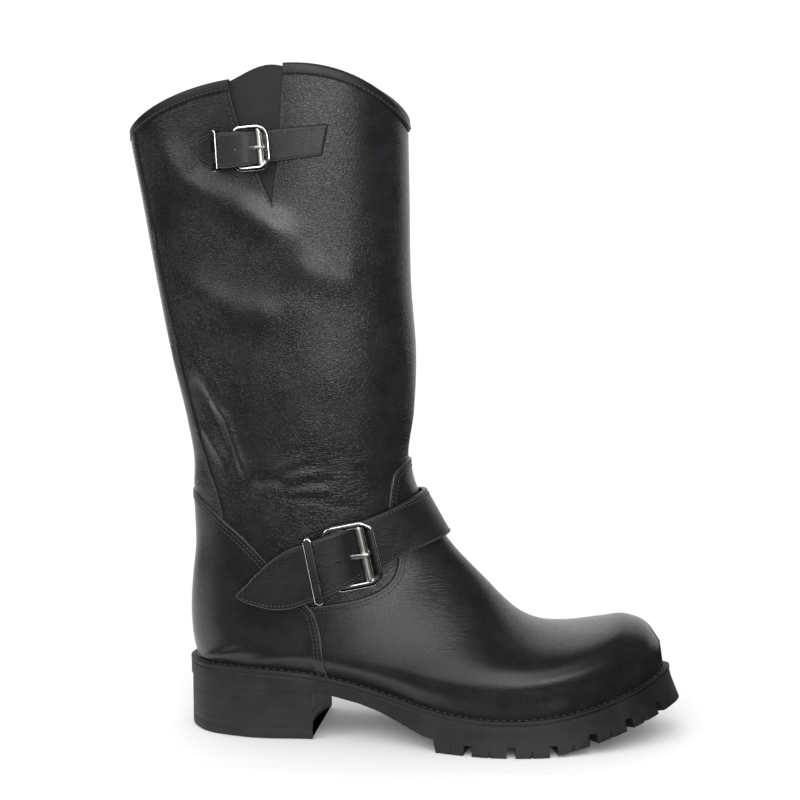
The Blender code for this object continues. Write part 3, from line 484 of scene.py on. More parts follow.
def crossing(ts, side, line):
    """Where each row of the skin passes a line that is given as x by height."""
    low, high = np.zeros(len(ts)), np.full(len(ts), 2.0)
    for _ in range(30):
        middle = (low + high) / 2
        spot = surface(ts, middle, side)
        ahead = spot[:, 0] > line(spot[:, 2])
        low, high = np.where(ahead, middle, low), np.where(ahead, high, middle)
    return (low + high) / 2


def find_row(height_at, low, high):
    """Row of the skin at which a falling reading passes zero."""
    for _ in range(40):
        middle = (low + high) / 2
        low, high = (middle, high) if height_at(middle) > 0 else (low, middle)
    return (low + high) / 2


def at_tip(t):
    """Height of a row above the slit's tip."""
    u = crossing(np.array([t]), -1, plumb(SLIT_TIP[0]))
    return surface(t, u, -1)[0, 2] - SLIT_TIP[1]


tip_row = find_row(at_tip, 0.0, KNOTS[3])
EDGE_STEPS = np.array([2.2, 1.3, 0.7, 0.35, 0.12, 0.0])     # columns close to a cut edge
SLIT_SIDES = {"back": 80.0, "front": 90.0}     # leather beside the slit, along a row


def shares(length, count):
    """Shares of the way to a cut edge for rows of some lengths, close together at the edge."""
    fit = np.minimum(1.0, length / 8.0) / np.maximum(length, 1e-3)
    near = 1 - EDGE_STEPS[None] * fit[:, None]
    return np.concatenate([np.linspace(0, 1, count)[None, :-1] * near[:, :1], near], axis=1)


def slit_grid(rows, back_count, front_count, inner_count, off):
    """Grid of the upper from its back over the slit and the ridge to its back again."""
    held = np.minimum(rows, KNOTS[5])
    split = crossing(held, -1, plumb(SLIT_TIP[0]))
    behind = np.where(rows < tip_row, crossing(held, -1, SLIT_BACK), split)
    before = np.where(rows < tip_row, crossing(held, -1, SLIT_FRONT), split)
    back_u = 2 + (behind - 2)[:, None] * shares(np.full(len(rows), SLIT_SIDES["back"]), back_count)
    front_u = (before[:, None] * shares(np.full(len(rows), SLIT_SIDES["front"]), front_count))[:, ::-1]
    inner_u = np.broadcast_to(np.linspace(0, 2, inner_count)[1:], (len(rows), inner_count - 1))
    found = [skin(rows[:, None], u, side, off) for u, side in ((back_u, -1), (front_u, -1), (inner_u, 1))]
    grid = np.concatenate(found, axis=1)
    tip = rim(1.0, -1, LEDGE - off)
    last = np.array([tip[0], tip[1], seat(np.array(tip[0])) + GAP])
    return np.concatenate([grid, np.broadcast_to(last, grid[-1:].shape)]), back_u.shape[1] - 1


def spaced(*stretches):
    """Rising places from several stretches."""
    return np.unique(np.concatenate(stretches))


def slit_sheet(rows, counts, outer_off, inner_off):
    """Closed sheet of the upper between two offsets, open along the slit."""
    outer, slit_column = slit_grid(rows, *counts, outer_off)
    return closed_sheet(outer, slit_grid(rows, *counts, inner_off)[0], (slit_column,))


upper_rows = spaced(
    np.linspace(0, KNOTS[3], 70), np.linspace(KNOTS[3], KNOTS[8], 104), np.linspace(KNOTS[8], KNOTS[-1], 36),
    [tip_row],
)
upper = piece(
    "shaft_hull", *slit_sheet(upper_rows, (58, 48, 72), 0.0, -1.1), shaft_leather, "shaft_leather", "upper")

# Lining: thin dark leather glued inside the shaft and the foot, and turned in under
# the binding at the collar.
lining_leather = leather("lining_leather", (0.020, 0.019, 0.018), (0.034, 0.032, 0.030), 0.56, 1.1, 0.05)
lining_rows = spaced(np.linspace(0.6, KNOTS[8], 80), np.linspace(KNOTS[8], KNOTS[-1], 30), [tip_row])
piece("lining", *slit_sheet(lining_rows, (22, 20, 34), -1.15, -WALL), lining_leather, "gusset_leather")

# Gusset: a wedge of soft leather sewn behind the slit, so that the collar can open
# when the top strap is undone.
# The gusset's leather is darker than the shaft's: partly its own tone, partly painted shade for the recess
# behind the slit.
gusset_leather = leather("gusset_leather", (0.007, 0.007, 0.0075), (0.013, 0.0132, 0.014), 0.56, 1.6, 0.10)
GUSSET = 1.1
GUSSET_X, GUSSET_FOOT = 47.0, 296.0     # middle of the wedge and height of its lower end
GUSSET_BILLOW, GUSSET_CROWN = 0.25, 2.6     # how far it swells outwards and above the binding
gusset_end = find_row(lambda t: surface(t, 1.0, -1)[2] - GUSSET_FOOT, 0.0, KNOTS[3])
gusset_rows = np.linspace(0.9, gusset_end, 40)[:, None]
spread = np.linspace(1.0, 0.35, 40)[:, None]
loose = np.linspace(1, 0, 40)[:, None]
gusset_mid = crossing(gusset_rows[:, 0], -1, plumb(GUSSET_X))[:, None]
gusset_u = gusset_mid + np.linspace(-0.26, 0.26, 30)[None] * spread
billow = GUSSET_BILLOW * np.cos(np.linspace(-np.pi / 2, np.pi / 2, 30))[None] * loose
crown = GUSSET_CROWN * np.sin(np.pi * np.clip((gusset_u - 0.98) / 0.24, 0, 1)) * loose ** 2
gusset_faces = [skin(gusset_rows, gusset_u, -1, -WALL - GAP - deep + billow) for deep in (0.0, GUSSET)]
for face in gusset_faces:
    face[..., 2] += crown
piece("slit_gusset", *closed_sheet(*gusset_faces), gusset_leather, "gusset_leather", "gusset")

# Binding: a strip of thin leather folded over the collar and sewn through near its
# lower edge.  Its ends are cut at the slit.
binding_leather = leather(
    "binding_leather", (0.0075, 0.0077, 0.0085), (0.0140, 0.0144, 0.0157), 0.36, 1.2, 0.05)
BIND = 0.8          # thickness
BIND_DROP = 5.2     # how far it reaches down from the collar
BIND_SWELL = BIND * np.array([0.45, 0.85, 1.0, 1.05, 1.05, 1.0, 1.0])     # from its lower edge to the fold
BIND_CROWN = 1.3    # height of the fold


def drop_row(side, u):
    """Row of the skin at the binding's lower edge."""
    return BIND_DROP * 2.0 / np.linalg.norm(surface(2.0, u, side) - surface(0.0, u, side))


def bind_ring(side, u):
    """Outline of the binding across the collar."""
    rows = np.linspace(drop_row(side, u), 0, 7)
    out = skin(rows, u, side, GAP + BIND_SWELL)
    back = skin(rows, u, side, -WALL - GAP - BIND_SWELL)
    low_out, low_in = skin(rows[0], u, side, 0.1), skin(rows[0], u, side, -WALL - 0.1)
    up = unit(out[-1] - out[-2])
    middle, half = (out[-1] + back[-1]) / 2, (out[-1] - back[-1]) / 2
    top = [middle + half * np.cos(a) + up * BIND_CROWN * np.sin(a) for a in np.linspace(0, np.pi, 9)[1:-1]]
    return np.array([low_out, *out, *top, *back[::-1], low_in])


def tube(rings, closed=False):
    """Points and faces of a solid through rings of points, closed on itself or capped."""
    rings = np.asarray(rings, float)
    count, around = rings.shape[:2]
    at = lambda i, j: (i % count) * around + j % around
    faces = [[at(i, j), at(i, j + 1), at(i + 1, j + 1), at(i + 1, j)]
             for i in range(count if closed else count - 1) for j in range(around)]
    if not closed:
        faces += [list(range(around))[::-1], [at(count - 1, j) for j in range(around)]]
    return rings.reshape(-1, 3), faces


slit_behind = crossing(np.array([0.0]), -1, SLIT_BACK)[0]
slit_before = crossing(np.array([0.0]), -1, SLIT_FRONT)[0]
bind_path = [(-1, u) for u in np.linspace(slit_before, 0, 60)]
bind_path += [(1, u) for u in np.linspace(0, 2, 120)[1:]]
bind_path += [(-1, u) for u in np.linspace(2, slit_behind, 60)[1:]]
bind_rings = [bind_ring(*spot) for spot in bind_path]
binding = piece("binding_strip", *tube(bind_rings), binding_leather, "binding_leather", "collar_binding")

# Stitching: black waxed thread.  Each stitch is a short bead that dips into the
# leather at both ends, in rows beside the edges.
thread, thread_shader, thread_place = finish("thread", Roughness=0.42, Specular_IOR_Level=0.5)
twist = thread_place.noise(3800.0, 1.0)
join(thread_shader, Base_Color=twist.colour((0.020, 0.020, 0.021), (0.050, 0.050, 0.053)),
     Normal=twist.bump(0.5, 0.0001))
STITCH = [
    # along its half length, share of its thickness, lift
    (-1.0, 0.3, -0.40), (-0.72, 0.85, 0.0), (-0.3, 1.0, 0.20), (0.3, 1.0, 0.20), (0.72, 0.85, 0.0),
    (1.0, 0.3, -0.40),
]
STITCH_FILL = 0.84     # length of a stitch as a share of the pitch
STITCH_FLAT = 0.8      # height of the thread as a share of its width


def tree_of(thing):
    """Search tree of a piece's mesh."""
    spots = [vertex.co for vertex in thing.data.vertices]
    return BVHTree.FromPolygons(spots, [face.vertices for face in thing.data.polygons])


def evenly(line, step):
    """Points along a line at an even step."""
    line = np.asarray(line, float)
    runs = way_to(line)
    places = np.linspace(0, runs[-1], max(2, int(round(runs[-1] / step)) + 1))
    return np.column_stack([np.interp(places, runs, column) for column in line.T])


def together(*solids):
    """Points and faces of several solids as one."""
    points, faces = [], []
    for spots, sides in solids:
        faces += [[int(v) + len(points) for v in face] for face in sides]
        points += list(spots)
    return np.array(points), faces


def circle(radius, sides, start=0.0, stop=2 * np.pi):
    """Points around an arc, or around a circle with its first point again at the end."""
    turns = np.linspace(start, stop, sides)
    return np.column_stack([radius * np.cos(turns), radius * np.sin(turns)])


def sew(name, runs, slot, pitch=2.8, thick=0.40):
    """Stitches along runs of a search tree and a line in metres."""
    stitches = []
    for tree, line in runs:
        marks = evenly(line, pitch * MM)
        for a, b in zip(marks, marks[1:]):
            spot, normal = (np.array(found) for found in tree.find_nearest(Vector((a + b) / 2))[:2])
            ahead = (b - a) - normal * ((b - a) @ normal)
            half = np.linalg.norm(ahead) * STITCH_FILL / 2
            ahead = unit(ahead)
            left = np.cross(normal, ahead)
            rings = []
            for along, wide, lift in STITCH:
                middle = spot + ahead * along * half + normal * lift * MM
                rings.append([middle + thick * MM * wide * (c * left + STITCH_FLAT * s * normal)
                              for c, s in circle(1.0, 7)[:-1]])
            stitches.append(tube(rings))
    points, faces = together(*stitches)
    return piece(name, millimetres(points), faces, thread, slot)


collar_tree, shaft_tree = tree_of(binding), tree_of(upper)
collar_line = metres([skin(drop_row(side, u) * 0.72, u, side, GAP + BIND) for side, u in bind_path])


def slit_seam(edge, aside):
    """Line down the shaft beside the slit, drawn in towards its tip."""
    found = []
    for z in np.linspace(366.0, 300.5, 44):
        x = edge(max(z, SLIT_TIP[1])) + aside * min(1.0, (z - 300.0) / 12.0)
        found.append(shaft_tree.ray_cast(Vector(((x - HEEL_MID) * MM, -0.2, z * MM)), Vector((0, 1, 0)))[0])
    return np.array(found)


slit_lines = [slit_seam(SLIT_BACK, -3.0), slit_seam(SLIT_FRONT, 3.0)]
slit_runs = [(shaft_tree, line) for line in slit_lines]
sew("collar_stitches", [(collar_tree, collar_line)] + slit_runs, "binding_leather")

# Back stay: a tapering strip laid over the back seam of the shaft, with a row of
# stitches along each edge.
STAY = 1.0


def inside(outline, x, z):
    """Which places lie inside a side outline."""
    found = np.zeros(np.shape(x), bool)
    for (ax, az), (bx, bz) in zip(outline, np.roll(outline, -1, axis=0)):
        if az != bz:
            found ^= ((az > z) != (bz > z)) & (x < ax + (z - az) * (bx - ax) / (bz - az))
    return found


def reach_in(outline, ts, side):
    """Where each row of the skin leaves a side outline, seen from the back line."""
    us = np.linspace(2, 0, 401)
    spots = surface(ts[:, None], us[None], side)
    within = inside(outline, spots[..., 0], spots[..., 2])
    leaves = np.argmin(within, axis=1)
    low, high = us[np.maximum(leaves - 1, 0)], us[leaves]
    for _ in range(16):
        middle = (low + high) / 2
        spots = surface(ts, middle, side)
        good = inside(outline, spots[:, 0], spots[:, 2])
        low, high = np.where(good, middle, low), np.where(good, high, middle)
    return np.where(within.all(axis=1), us[-1], low)


def softened(corners, count=16):
    """Smooth line through the corners of an outline."""
    corners = np.array(corners, float)
    runs = way_to(corners)
    return curve(runs, corners)(np.linspace(0, runs[-1], count * len(corners)))


def plain_tree(off):
    """Search tree of the upper, smooth and held off, that the straps lie on."""
    rows, us = np.linspace(0, KNOTS[-1], 150)[:, None], np.linspace(0, 2, 40)
    sheets = []
    for side in (-1, 1):
        base = surface(rows, us[None], side)
        normal = np.cross(np.gradient(base, axis=0), np.gradient(base, axis=1)) * side
        sheets.append(base + off * unit(normal))
    grid = np.concatenate([sheets[0][:, ::-1], sheets[1][:, 1:]], axis=1)
    return BVHTree.FromPolygons(grid.reshape(-1, 3).tolist(), quads(*grid.shape[:2]))


base_tree = plain_tree(0.0)
CORE_X, CORE_TOP = 70.0, 90.0     # middle of the shaft, and the height from which its core runs level


def outward(spot):
    """Direction out of the leather at a place in metres on the bare upper."""
    normal = np.array(base_tree.find_nearest(Vector(millimetres(spot)))[1])
    core = np.array([(CORE_X - HEEL_MID) * MM, 0.0, min(spot[2], CORE_TOP * MM)])
    return normal * np.sign(normal @ (spot - core))


def beside(tree, line, inset, clear=4.0):
    """A line in metres on a piece beside one of its edges; inset is to the left as seen from outside."""
    line = evenly(line, 0.5 * MM)
    found = []
    for spot, ahead in zip(line, np.gradient(line, axis=0)):
        normal = outward(spot)
        aside = spot + inset * MM * unit(np.cross(normal, ahead)) + clear * MM * normal
        found.append(tree.find_nearest(Vector(aside))[0])
    return np.array(found)


def drape(line, side):
    """Places on the bare upper along a line of x and z that is seen from one side."""
    hits = [base_tree.ray_cast(Vector((x, side * 300.0, z)), Vector((0, -side, 0)))[0] for x, z in line]
    return np.array([hit for hit in hits if hit is not None])


def calm(grid, share):
    """Grid smoothed along its columns by a share for each place."""
    for _ in range(60):
        mean = grid.copy()
        mean[1:-1] = (grid[:-2] + 2 * grid[1:-1] + grid[2:]) / 4
        grid = grid + share[..., None] * (mean - grid)
    return grid


def edge_of(line):
    """A side line laid on both sides of the boot, with its search tree."""
    laid_line = evenly(np.concatenate([drape(line, -1)[::-1], drape(line, 1)]), 0.25)
    finder = KDTree(len(laid_line))
    for k, spot in enumerate(laid_line):
        finder.insert(spot, k)
    finder.balance()
    return laid_line, finder


LIFT = 0.12         # gap under leather that lies on the upper
LAID_ROUND = 1.1    # width of the rounding at its cut edge


def laid(finder, t, u, side, thick, share, raised=None):
    """Places of the outer or inner face of leather laid over the upper, rounded at its cut edge."""
    base = surface(t, u, side)
    far = np.array([finder.find(spot)[2] for spot in base.reshape(-1, 3)]).reshape(base.shape[:-1])
    round_edge = np.sqrt(1 - (1 - np.clip(far / LAID_ROUND, 0, 1)) ** 2)
    extra = raised(base) if raised else 0.0
    return skin(t, u, side, LIFT + extra + share * (thick * (0.3 + 0.7 * round_edge) - 0.5 * extra))


def wrap_back(name, before, line, after, rows, columns, thick, material, slot, node, raised=None):
    """Leather laid around the back and cut along a side line; gives the piece and its cut edge."""
    outline = np.vstack([before, line, after])
    edge_line, finder = edge_of(line)
    grids = []
    for share in (1.0, 0.0):
        parts = []
        for side in (-1, 1):
            edge = reach_in(outline, rows, side)
            walk = surface(rows[:, None], 2.0 + (edge - 2.0)[:, None] * np.linspace(0, 1, 25), side)
            length = np.linalg.norm(np.diff(walk, axis=1), axis=2).sum(axis=1)
            us = 2.0 + (edge - 2.0)[:, None] * shares(length, columns)
            part = laid(finder, rows[:, None], us, side, thick, share, raised)
            at_heel = np.exp(-((rows[:, None] - HEEL_KNOT) / 12.0) ** 2)
            parts.append(calm(part, at_heel * ease((2.0 - us) / 0.2)))
        grids.append(np.concatenate([parts[0][:, ::-1], parts[1][:, 1:]], axis=1))
    return piece(name, *closed_sheet(*grids), material, slot, node), metres(edge_line)


stay_line = softened([
    (-27.0, 345.0), (-25.4, 331.0), (-18.4, 295.0), (-12.8, 264.4), (-4.5, 225.2), (3.4, 191.1), (8.0, 174.3),
    (12.1, 160.4), (15.8, 149.9), (19.4, 141.5), (21.4, 133.0), (23.0, 125.0), (24.0, 117.0),
])
stay_end = find_row(lambda t: surface(t, 2.0, -1)[2] - 122.0, 0.0, HEEL_KNOT)
back_stay, stay_edge = wrap_back(
    "stay_strip", [(-60.0, 100.0), (-60.0, 345.0)], stay_line, [(20.0, 100.0)],
    np.linspace(3.0, stay_end, 150), 9, STAY, shaft_leather, "shaft_leather", "back_stay",
)
stay_tree = tree_of(back_stay)

# Counter: stiffened leather over the heel, sewn to the shaft along its slanting top
# edge and lapped over the vamp with two rows of stitches at the sides.
vamp_leather = leather(
    "vamp_leather", (0.0080, 0.0082, 0.0090), (0.0145, 0.0149, 0.0162), 0.25, 1.3, 0.035, 0.05,
    [(140, -36, 76, 40), (150, -30, 92, 34), (140, 34, 76, 40), (160, 30, 90, 34)],
)
COUNTER = 1.6
counter_line = np.vstack([
    softened([(-1.0, 139.7), (4.0, 138.4), (13.5, 132.4), (24.1, 124.4), (34.0, 117.0), (41.2, 110.4),
              (47.2, 104.2), (58.0, 90.5), (67.0, 81.6)]),
    softened([(74.2, 75.0), (77.8, 62.0), (80.0, 46.0), (83.0, 30.0)]),
])


def counter_top(t):
    """Above zero while a row's end on the back line is higher than the counter."""
    spot = surface(t, 2.0, -1)
    return spot[2] - np.interp(spot[0], [-40.0, 4.0, 13.5], [150.0, 138.4, 132.4])


COUNTER_FRONT = 82.4


def counter_front(t):
    """Above zero while a row's end on the welt is behind the counter's front edge."""
    return COUNTER_FRONT - surface(t, 2.0, -1)[0] if t > HEEL_KNOT else 1.0


counter_start = find_row(counter_top, 0.0, HEEL_KNOT)
counter_end = find_row(counter_front, HEEL_KNOT - 5, KNOTS[13])
LAP = 1.35     # how high the counter rises over the vamp


def lapped(spots):
    """How far the counter is raised where it lies over the vamp."""
    under = np.interp(spots[..., 2], [28.0, 46.0, 62.0, 75.6], [79.0, 75.4, 72.6, 69.2])
    return LAP * ease((spots[..., 0] - under + 5.0) / 4.5) * ease((92.0 - spots[..., 2]) / 10.0)


first_rows = np.array([0.0, 0.15, 0.35, 0.7, 1.2, 1.9, 2.8, 4.0, 5.5, 7.5])
counter_rows = spaced(counter_start + first_rows, np.linspace(counter_start + 8.5, counter_end, 110))
counter, counter_edge = wrap_back(
    "heel_counter", [(-40.0, 20.0), (-40.0, 150.0)], counter_line, [(60.0, 20.0)],
    counter_rows, 34, COUNTER, vamp_leather, "vamp_leather", "counter", lapped,
)
counter_tree = tree_of(counter)

# Vamp: smooth leather over the front of the foot, with a rounded tab that runs up
# the front under the ankle strap and a double row of stitches along its edge.
VAMP = 1.3
vamp_before = [(300.0, 10.0), (300.0, 90.0), (165.0, 140.0), (140.0, 163.0)]
vamp_top = softened([
    (127.0, 157.6), (121.0, 155.4), (117.8, 151.2), (116.2, 145.0), (115.3, 138.0), (114.8, 131.0),
    (116.2, 120.0), (118.8, 110.0), (120.3, 102.0), (119.4, 96.0), (116.4, 90.6), (111.0, 86.2),
    (103.0, 82.6), (92.0, 79.9), (80.0, 78.1), (71.0, 77.2),
])
vamp_line = np.vstack([vamp_top, softened([(69.2, 75.6), (72.6, 62.0), (75.4, 46.0), (79.0, 28.0)], 6)])
vamp_outline = np.vstack([vamp_before, vamp_line, [(150.0, 0.0)]])


def above_vamp(t):
    """Above zero while a row's place on the ridge is above the vamp."""
    return 1.0 - 2.0 * inside(vamp_outline, *surface(t, 0.0, -1)[[0, 2]])


vamp_start = find_row(above_vamp, KNOTS[3], KNOTS[7])
vamp_rows = np.concatenate([
    np.linspace(vamp_start - 1.0, KNOTS[13], 136), np.linspace(KNOTS[13], KNOTS[-1], 56)[1:],
    [KNOTS[-1] + 1.0],
])
vamp_columns = np.linspace(-2, 2, 145)
CUT_LEVELS = (2.4, 1.2, 0.6, 0.25, 0.0)     # distances from the cut edge with a row of points of their own


def cut_sheet(outline, ts, us):
    """Faces of the skin inside a side outline, and t and u of their points; outer u is below zero."""
    t, u = (spread.ravel() for spread in np.meshgrid(ts, us, indexing="ij"))
    spots = np.where((u < 0)[:, None], surface(t, np.abs(u), -1), surface(t, np.abs(u), 1))
    x, z = spots[:, 0], spots[:, 2]
    far = np.full(len(x), 1e9)
    for (ax, az), (bx, bz) in zip(outline, np.roll(outline, -1, axis=0)):
        w = ((x - ax) * (bx - ax) + (z - az) * (bz - az)) / max((bx - ax) ** 2 + (bz - az) ** 2, 1e-9)
        w = np.clip(w, 0, 1)
        far = np.minimum(far, np.hypot(x - ax - w * (bx - ax), z - az - w * (bz - az)))
    marks = np.column_stack([t, u, np.where(inside(outline, x, z), far, -far)]).tolist()
    faces = quads(len(ts), len(us))
    for level in CUT_LEVELS:
        made, split = {}, []
        for face in faces:
            above, below = [], []
            for a, b in zip(face, face[1:] + face[:1]):
                (above if marks[a][2] >= level else below).append(a)
                if (marks[a][2] >= level) != (marks[b][2] >= level):
                    key = (min(a, b), max(a, b))
                    if key not in made:
                        w = (level - marks[a][2]) / (marks[b][2] - marks[a][2])
                        made[key] = len(marks)
                        marks.append([p + w * (q - p) for p, q in zip(marks[a], marks[b])])
                    above.append(made[key])
                    below.append(made[key])
            split += [part for part in (above, below) if len(part) > 2]
        faces = split
    marks = np.array(marks)
    return [face for face in faces if marks[face, 2].mean() > 0], marks[:, 0], marks[:, 1]


vamp_faces, vamp_t, vamp_u = cut_sheet(vamp_outline, vamp_rows, vamp_columns)
vamp_edge, vamp_finder = edge_of(vamp_line)
vamp_edge, vamp_top_edge = metres(vamp_edge), metres(edge_of(vamp_top)[0])
vamp_sides = []
for share in (1.0, 0.0):
    on_skin = np.minimum(vamp_t, KNOTS[-1]), np.abs(vamp_u)
    halves = [laid(vamp_finder, *on_skin, side, VAMP, share) for side in (-1, 1)]
    spots = np.where((vamp_u < 0)[:, None], *halves)
    tip = rim(1.0, -1, LEDGE - LIFT - share * VAMP)
    spots[vamp_t > KNOTS[-1]] = (tip[0], tip[1], seat(np.array(tip[0])) + GAP)
    vamp_sides.append(spots)
vamp = piece("foot_vamp", *sheet(*vamp_sides, vamp_faces), vamp_leather, "vamp_leather", "vamp")
vamp_tree = tree_of(vamp)
sew("overlay_stitches", [
    (stay_tree, beside(stay_tree, stay_edge, 2.0)),
    (counter_tree, beside(counter_tree, counter_edge, 2.8)),
    (counter_tree, beside(counter_tree, counter_edge, 5.0)),
    (vamp_tree, beside(vamp_tree, vamp_top_edge, -2.0)),
    (vamp_tree, beside(vamp_tree, vamp_top_edge, -4.2)),
], "shaft_leather", 2.4, 0.30)

# Cut edges: the leather is cut, not turned in, and its raw edges show as thin paler lines along the stay,
# the counter, the vamp and the slit; the lines are painted paler than raw leather, as painted highlight on
# the rounded edges.
# Pale colour of the edge beads: partly the raw edge's own tone, partly painted highlight.
raw_edge_highlight, edge_highlight_shader, edge_highlight_place = finish("raw_edge_highlight", Roughness=0.62, Specular_IOR_Level=0.35)
fibres = edge_highlight_place.noise(900.0, 4.0, 0.6)
join(edge_highlight_shader, Base_Color=fibres.step(0.3, 0.7).colour((0.030, 0.031, 0.032), (0.070, 0.072, 0.074)),
     Normal=fibres.bump(0.5, 0.0002))
BEAD = 0.24                  # radius of the pale line, partly raw edge and partly painted highlight
BEAD_SIDE = (0.3, 0.9, 0.3)  # any direction that no cut edge runs along


def highlight_bead(tree, line, clear=3.0):
    """Thin pale bead, partly raw edge and partly painted highlight, along the upper corner of a cut edge that
    is near a line in metres.
    """
    path = []
    for spot in evenly(line, 0.9 * MM):
        path.append(tree.find_nearest(Vector(spot + clear * MM * outward(spot)))[0])
    path = evenly(np.array(path), 0.8 * MM)
    path[1:-1] = (path[:-2] + 2 * path[1:-1] + path[2:]) / 4
    ahead = unit(np.gradient(path, axis=0))
    aside = unit(np.cross(ahead, BEAD_SIDE))
    up = np.cross(aside, ahead)
    rings = [[spot + BEAD * MM * (c * a + s * b) for c, s in circle(1.0, 7)[:-1]]
             for spot, a, b in zip(path, aside, up)]
    return tube(millimetres(rings))


slit_edges = [slit_seam(SLIT_BACK, -0.25), slit_seam(SLIT_FRONT, 0.25)]
piece("cut_edge_highlights", *together(
    highlight_bead(stay_tree, stay_edge), highlight_bead(counter_tree, counter_edge), highlight_bead(vamp_tree, vamp_edge),
    *[highlight_bead(shaft_tree, line) for line in slit_edges]), raw_edge_highlight, "shaft_leather")

# Insole: a fibre board covered with dark woven cloth, cut a little smaller than the
# foot's edge and glued in on the seat, so that the foot stands on it.
insole_cloth, cloth_shader, cloth_place = finish("insole_cloth", Roughness=0.9, Specular_IOR_Level=0.2)
bands = {"Vector": cloth_place, "Scale": 300.0, "Distortion": 1.0}
warp, weft = (cloth_place.node("TexWave", {"bands_direction": axis}, bands) for axis in "XY")
weave = warp * weft
join(cloth_shader, Base_Color=weave.colour((0.03, 0.03, 0.031), (0.075, 0.075, 0.075)),
     Normal=weave.bump(0.6, 0.0003))
INSOLE = 3.0
INSOLE_EDGE = 0.5     # how far its edges are rounded down
insole_inset = LEDGE + WALL + 2.6
across = np.linspace(0, 1, 9)
insole_rings = []
for part in np.linspace(0.005, 0.995, 90):
    left, right = rim(part, -1, insole_inset), rim(part, 1, insole_inset)
    xs, ys = left[0] + across * (right[0] - left[0]), left[1] + across * (right[1] - left[1])
    low = seat(xs) + GAP
    high = low + INSOLE - INSOLE_EDGE * (2 * across - 1) ** 6
    above, below = np.column_stack([xs, ys, high]), np.column_stack([xs, ys, low])
    insole_rings.append(np.concatenate([above, below[::-1]]))
piece("foot_board", *tube(insole_rings), insole_cloth, "insole_fabric", "insole")

# Welt: a flat strip of moulded rubber around the upper's lower edge.  It lies on the
# sole and is stitched through to it along a shallow groove.
WELT = 2.6
WELT_PROFILE = [
    # inset, drop
    (0.5, WELT), (0.1, WELT - 0.3), (0.0, 1.6), (0.0, 0.7), (0.15, 0.3), (0.5, 0.05), (1.0, 0.0), (2.0, 0.0),
    (2.35, 0.18), (2.75, 0.18), (3.1, 0.0), (LEDGE + 3.0, 0.0), (LEDGE + 3.0, WELT),
]
WELT_SEAM = 2.55     # inset of the groove's middle


def rubber(name, dark, light, rough, grain):
    """Moulded black rubber with a fine grain and dusty, paler places."""
    made, shader, place = finish(name, Specular_IOR_Level=0.45)
    dust = place.noise(55.0, 5.0, 0.65).step(0.35, 0.8)
    fine = place.noise(1900.0, 3.0)
    join(shader, Base_Color=dust.colour(dark, light), Roughness=rough + dust * 0.12 + fine * 0.08,
         Normal=fine.bump(grain, 0.00012))
    return made


welt_rubber = rubber("welt_rubber", (0.009, 0.009, 0.0094), (0.018, 0.018, 0.0186), 0.46, 0.5)


def on_welt(side, part, inset, drop=0.0):
    """Place on the welt, moved in from its edge and down from its top."""
    x, y = rim(part, side, inset)[:2]
    return x, y, seat(np.array(x)) - drop


welt_path = [(-1, p) for p in np.linspace(0, 1, 260)] + [(1, p) for p in np.linspace(1, 0, 260)[1:-1]]
welt_rings = [[on_welt(*spot, *corner) for corner in WELT_PROFILE] for spot in welt_path]
welt = piece("welt_strip", *tube(welt_rings, closed=True), welt_rubber, "welt_rubber", "welt")
welt_tree = tree_of(welt)
welt_line = metres([on_welt(*spot, WELT_SEAM) for spot in welt_path])
sew("welt_stitches", [(welt_tree, welt_line)], "welt_rubber", pitch=4.2, thick=0.42)

# Outsole: moulded rubber with deep side lugs, a small nick in the middle of each
# lug, a channel inside the lugs and bars across the middle.
sole_rubber = rubber("sole_rubber", (0.0075, 0.0075, 0.0079), (0.0155, 0.0155, 0.0161), 0.50, 0.8)
UNDER = np.array([
    # x, height of the underside
    (-8.0, 30.6), (80.0, 27.0), (88.0, 25.4), (100.0, 22.8), (112.0, 19.0), (124.0, 14.0),
    (136.0, 8.8), (142.6, 7.4), (144.2, 0.0), (206.0, 0.0), (226.0, 4.4), (243.0, 9.2),
    (260.0, 15.2), (276.0, 20.8),
])
flare = smooth_table([
    # x, how far the sole's foot stands out past the welt
    (0.0, 0.0), (90.0, 0.4), (140.0, 1.6), (175.0, 3.0), (225.0, 3.6), (262.0, 5.0), (276.0, 6.0),
])
LUG = 5.6     # depth of the tread
GROOVES = [162.0, 185.6, 208.7, 230.0, 249.4, 265.4]     # x of the cuts between the side lugs
GROOVE_INSET, GROOVE_LONG, GROOVE_HALF, GROOVE_TAPER = 4.0, 14.6, 2.3, 0.4
NICKS = [152.6, 173.8, 197.0, 219.4, 239.8, 257.6]
NICK_OUT, NICK_HALF, NICK_RISE = 2.4, 1.7, 0.72
BARS = (174.0, 197.0, 219.5)     # x of the cuts across the middle
BAR_INSET, BAR_HALF = 19.0, 2.5
CHANNEL_BACK, CHANNEL_FRONT = 138.0, 262.0
CHANNEL_WIDE, CHANNEL_NARROW = 17.0, 21.0     # insets of the channel's two sides
SOFT_EDGE = 0.45


def under(x):
    """Height of the sole's underside."""
    return np.interp(x, UNDER[:, 0], UNDER[:, 1])


def part_at(x, side):
    """Part of the way to the toe at which the welt's edge passes x."""
    parts, points = SIDES[side][:2]
    return np.interp(x, np.maximum.accumulate(points[:, 0]), parts)


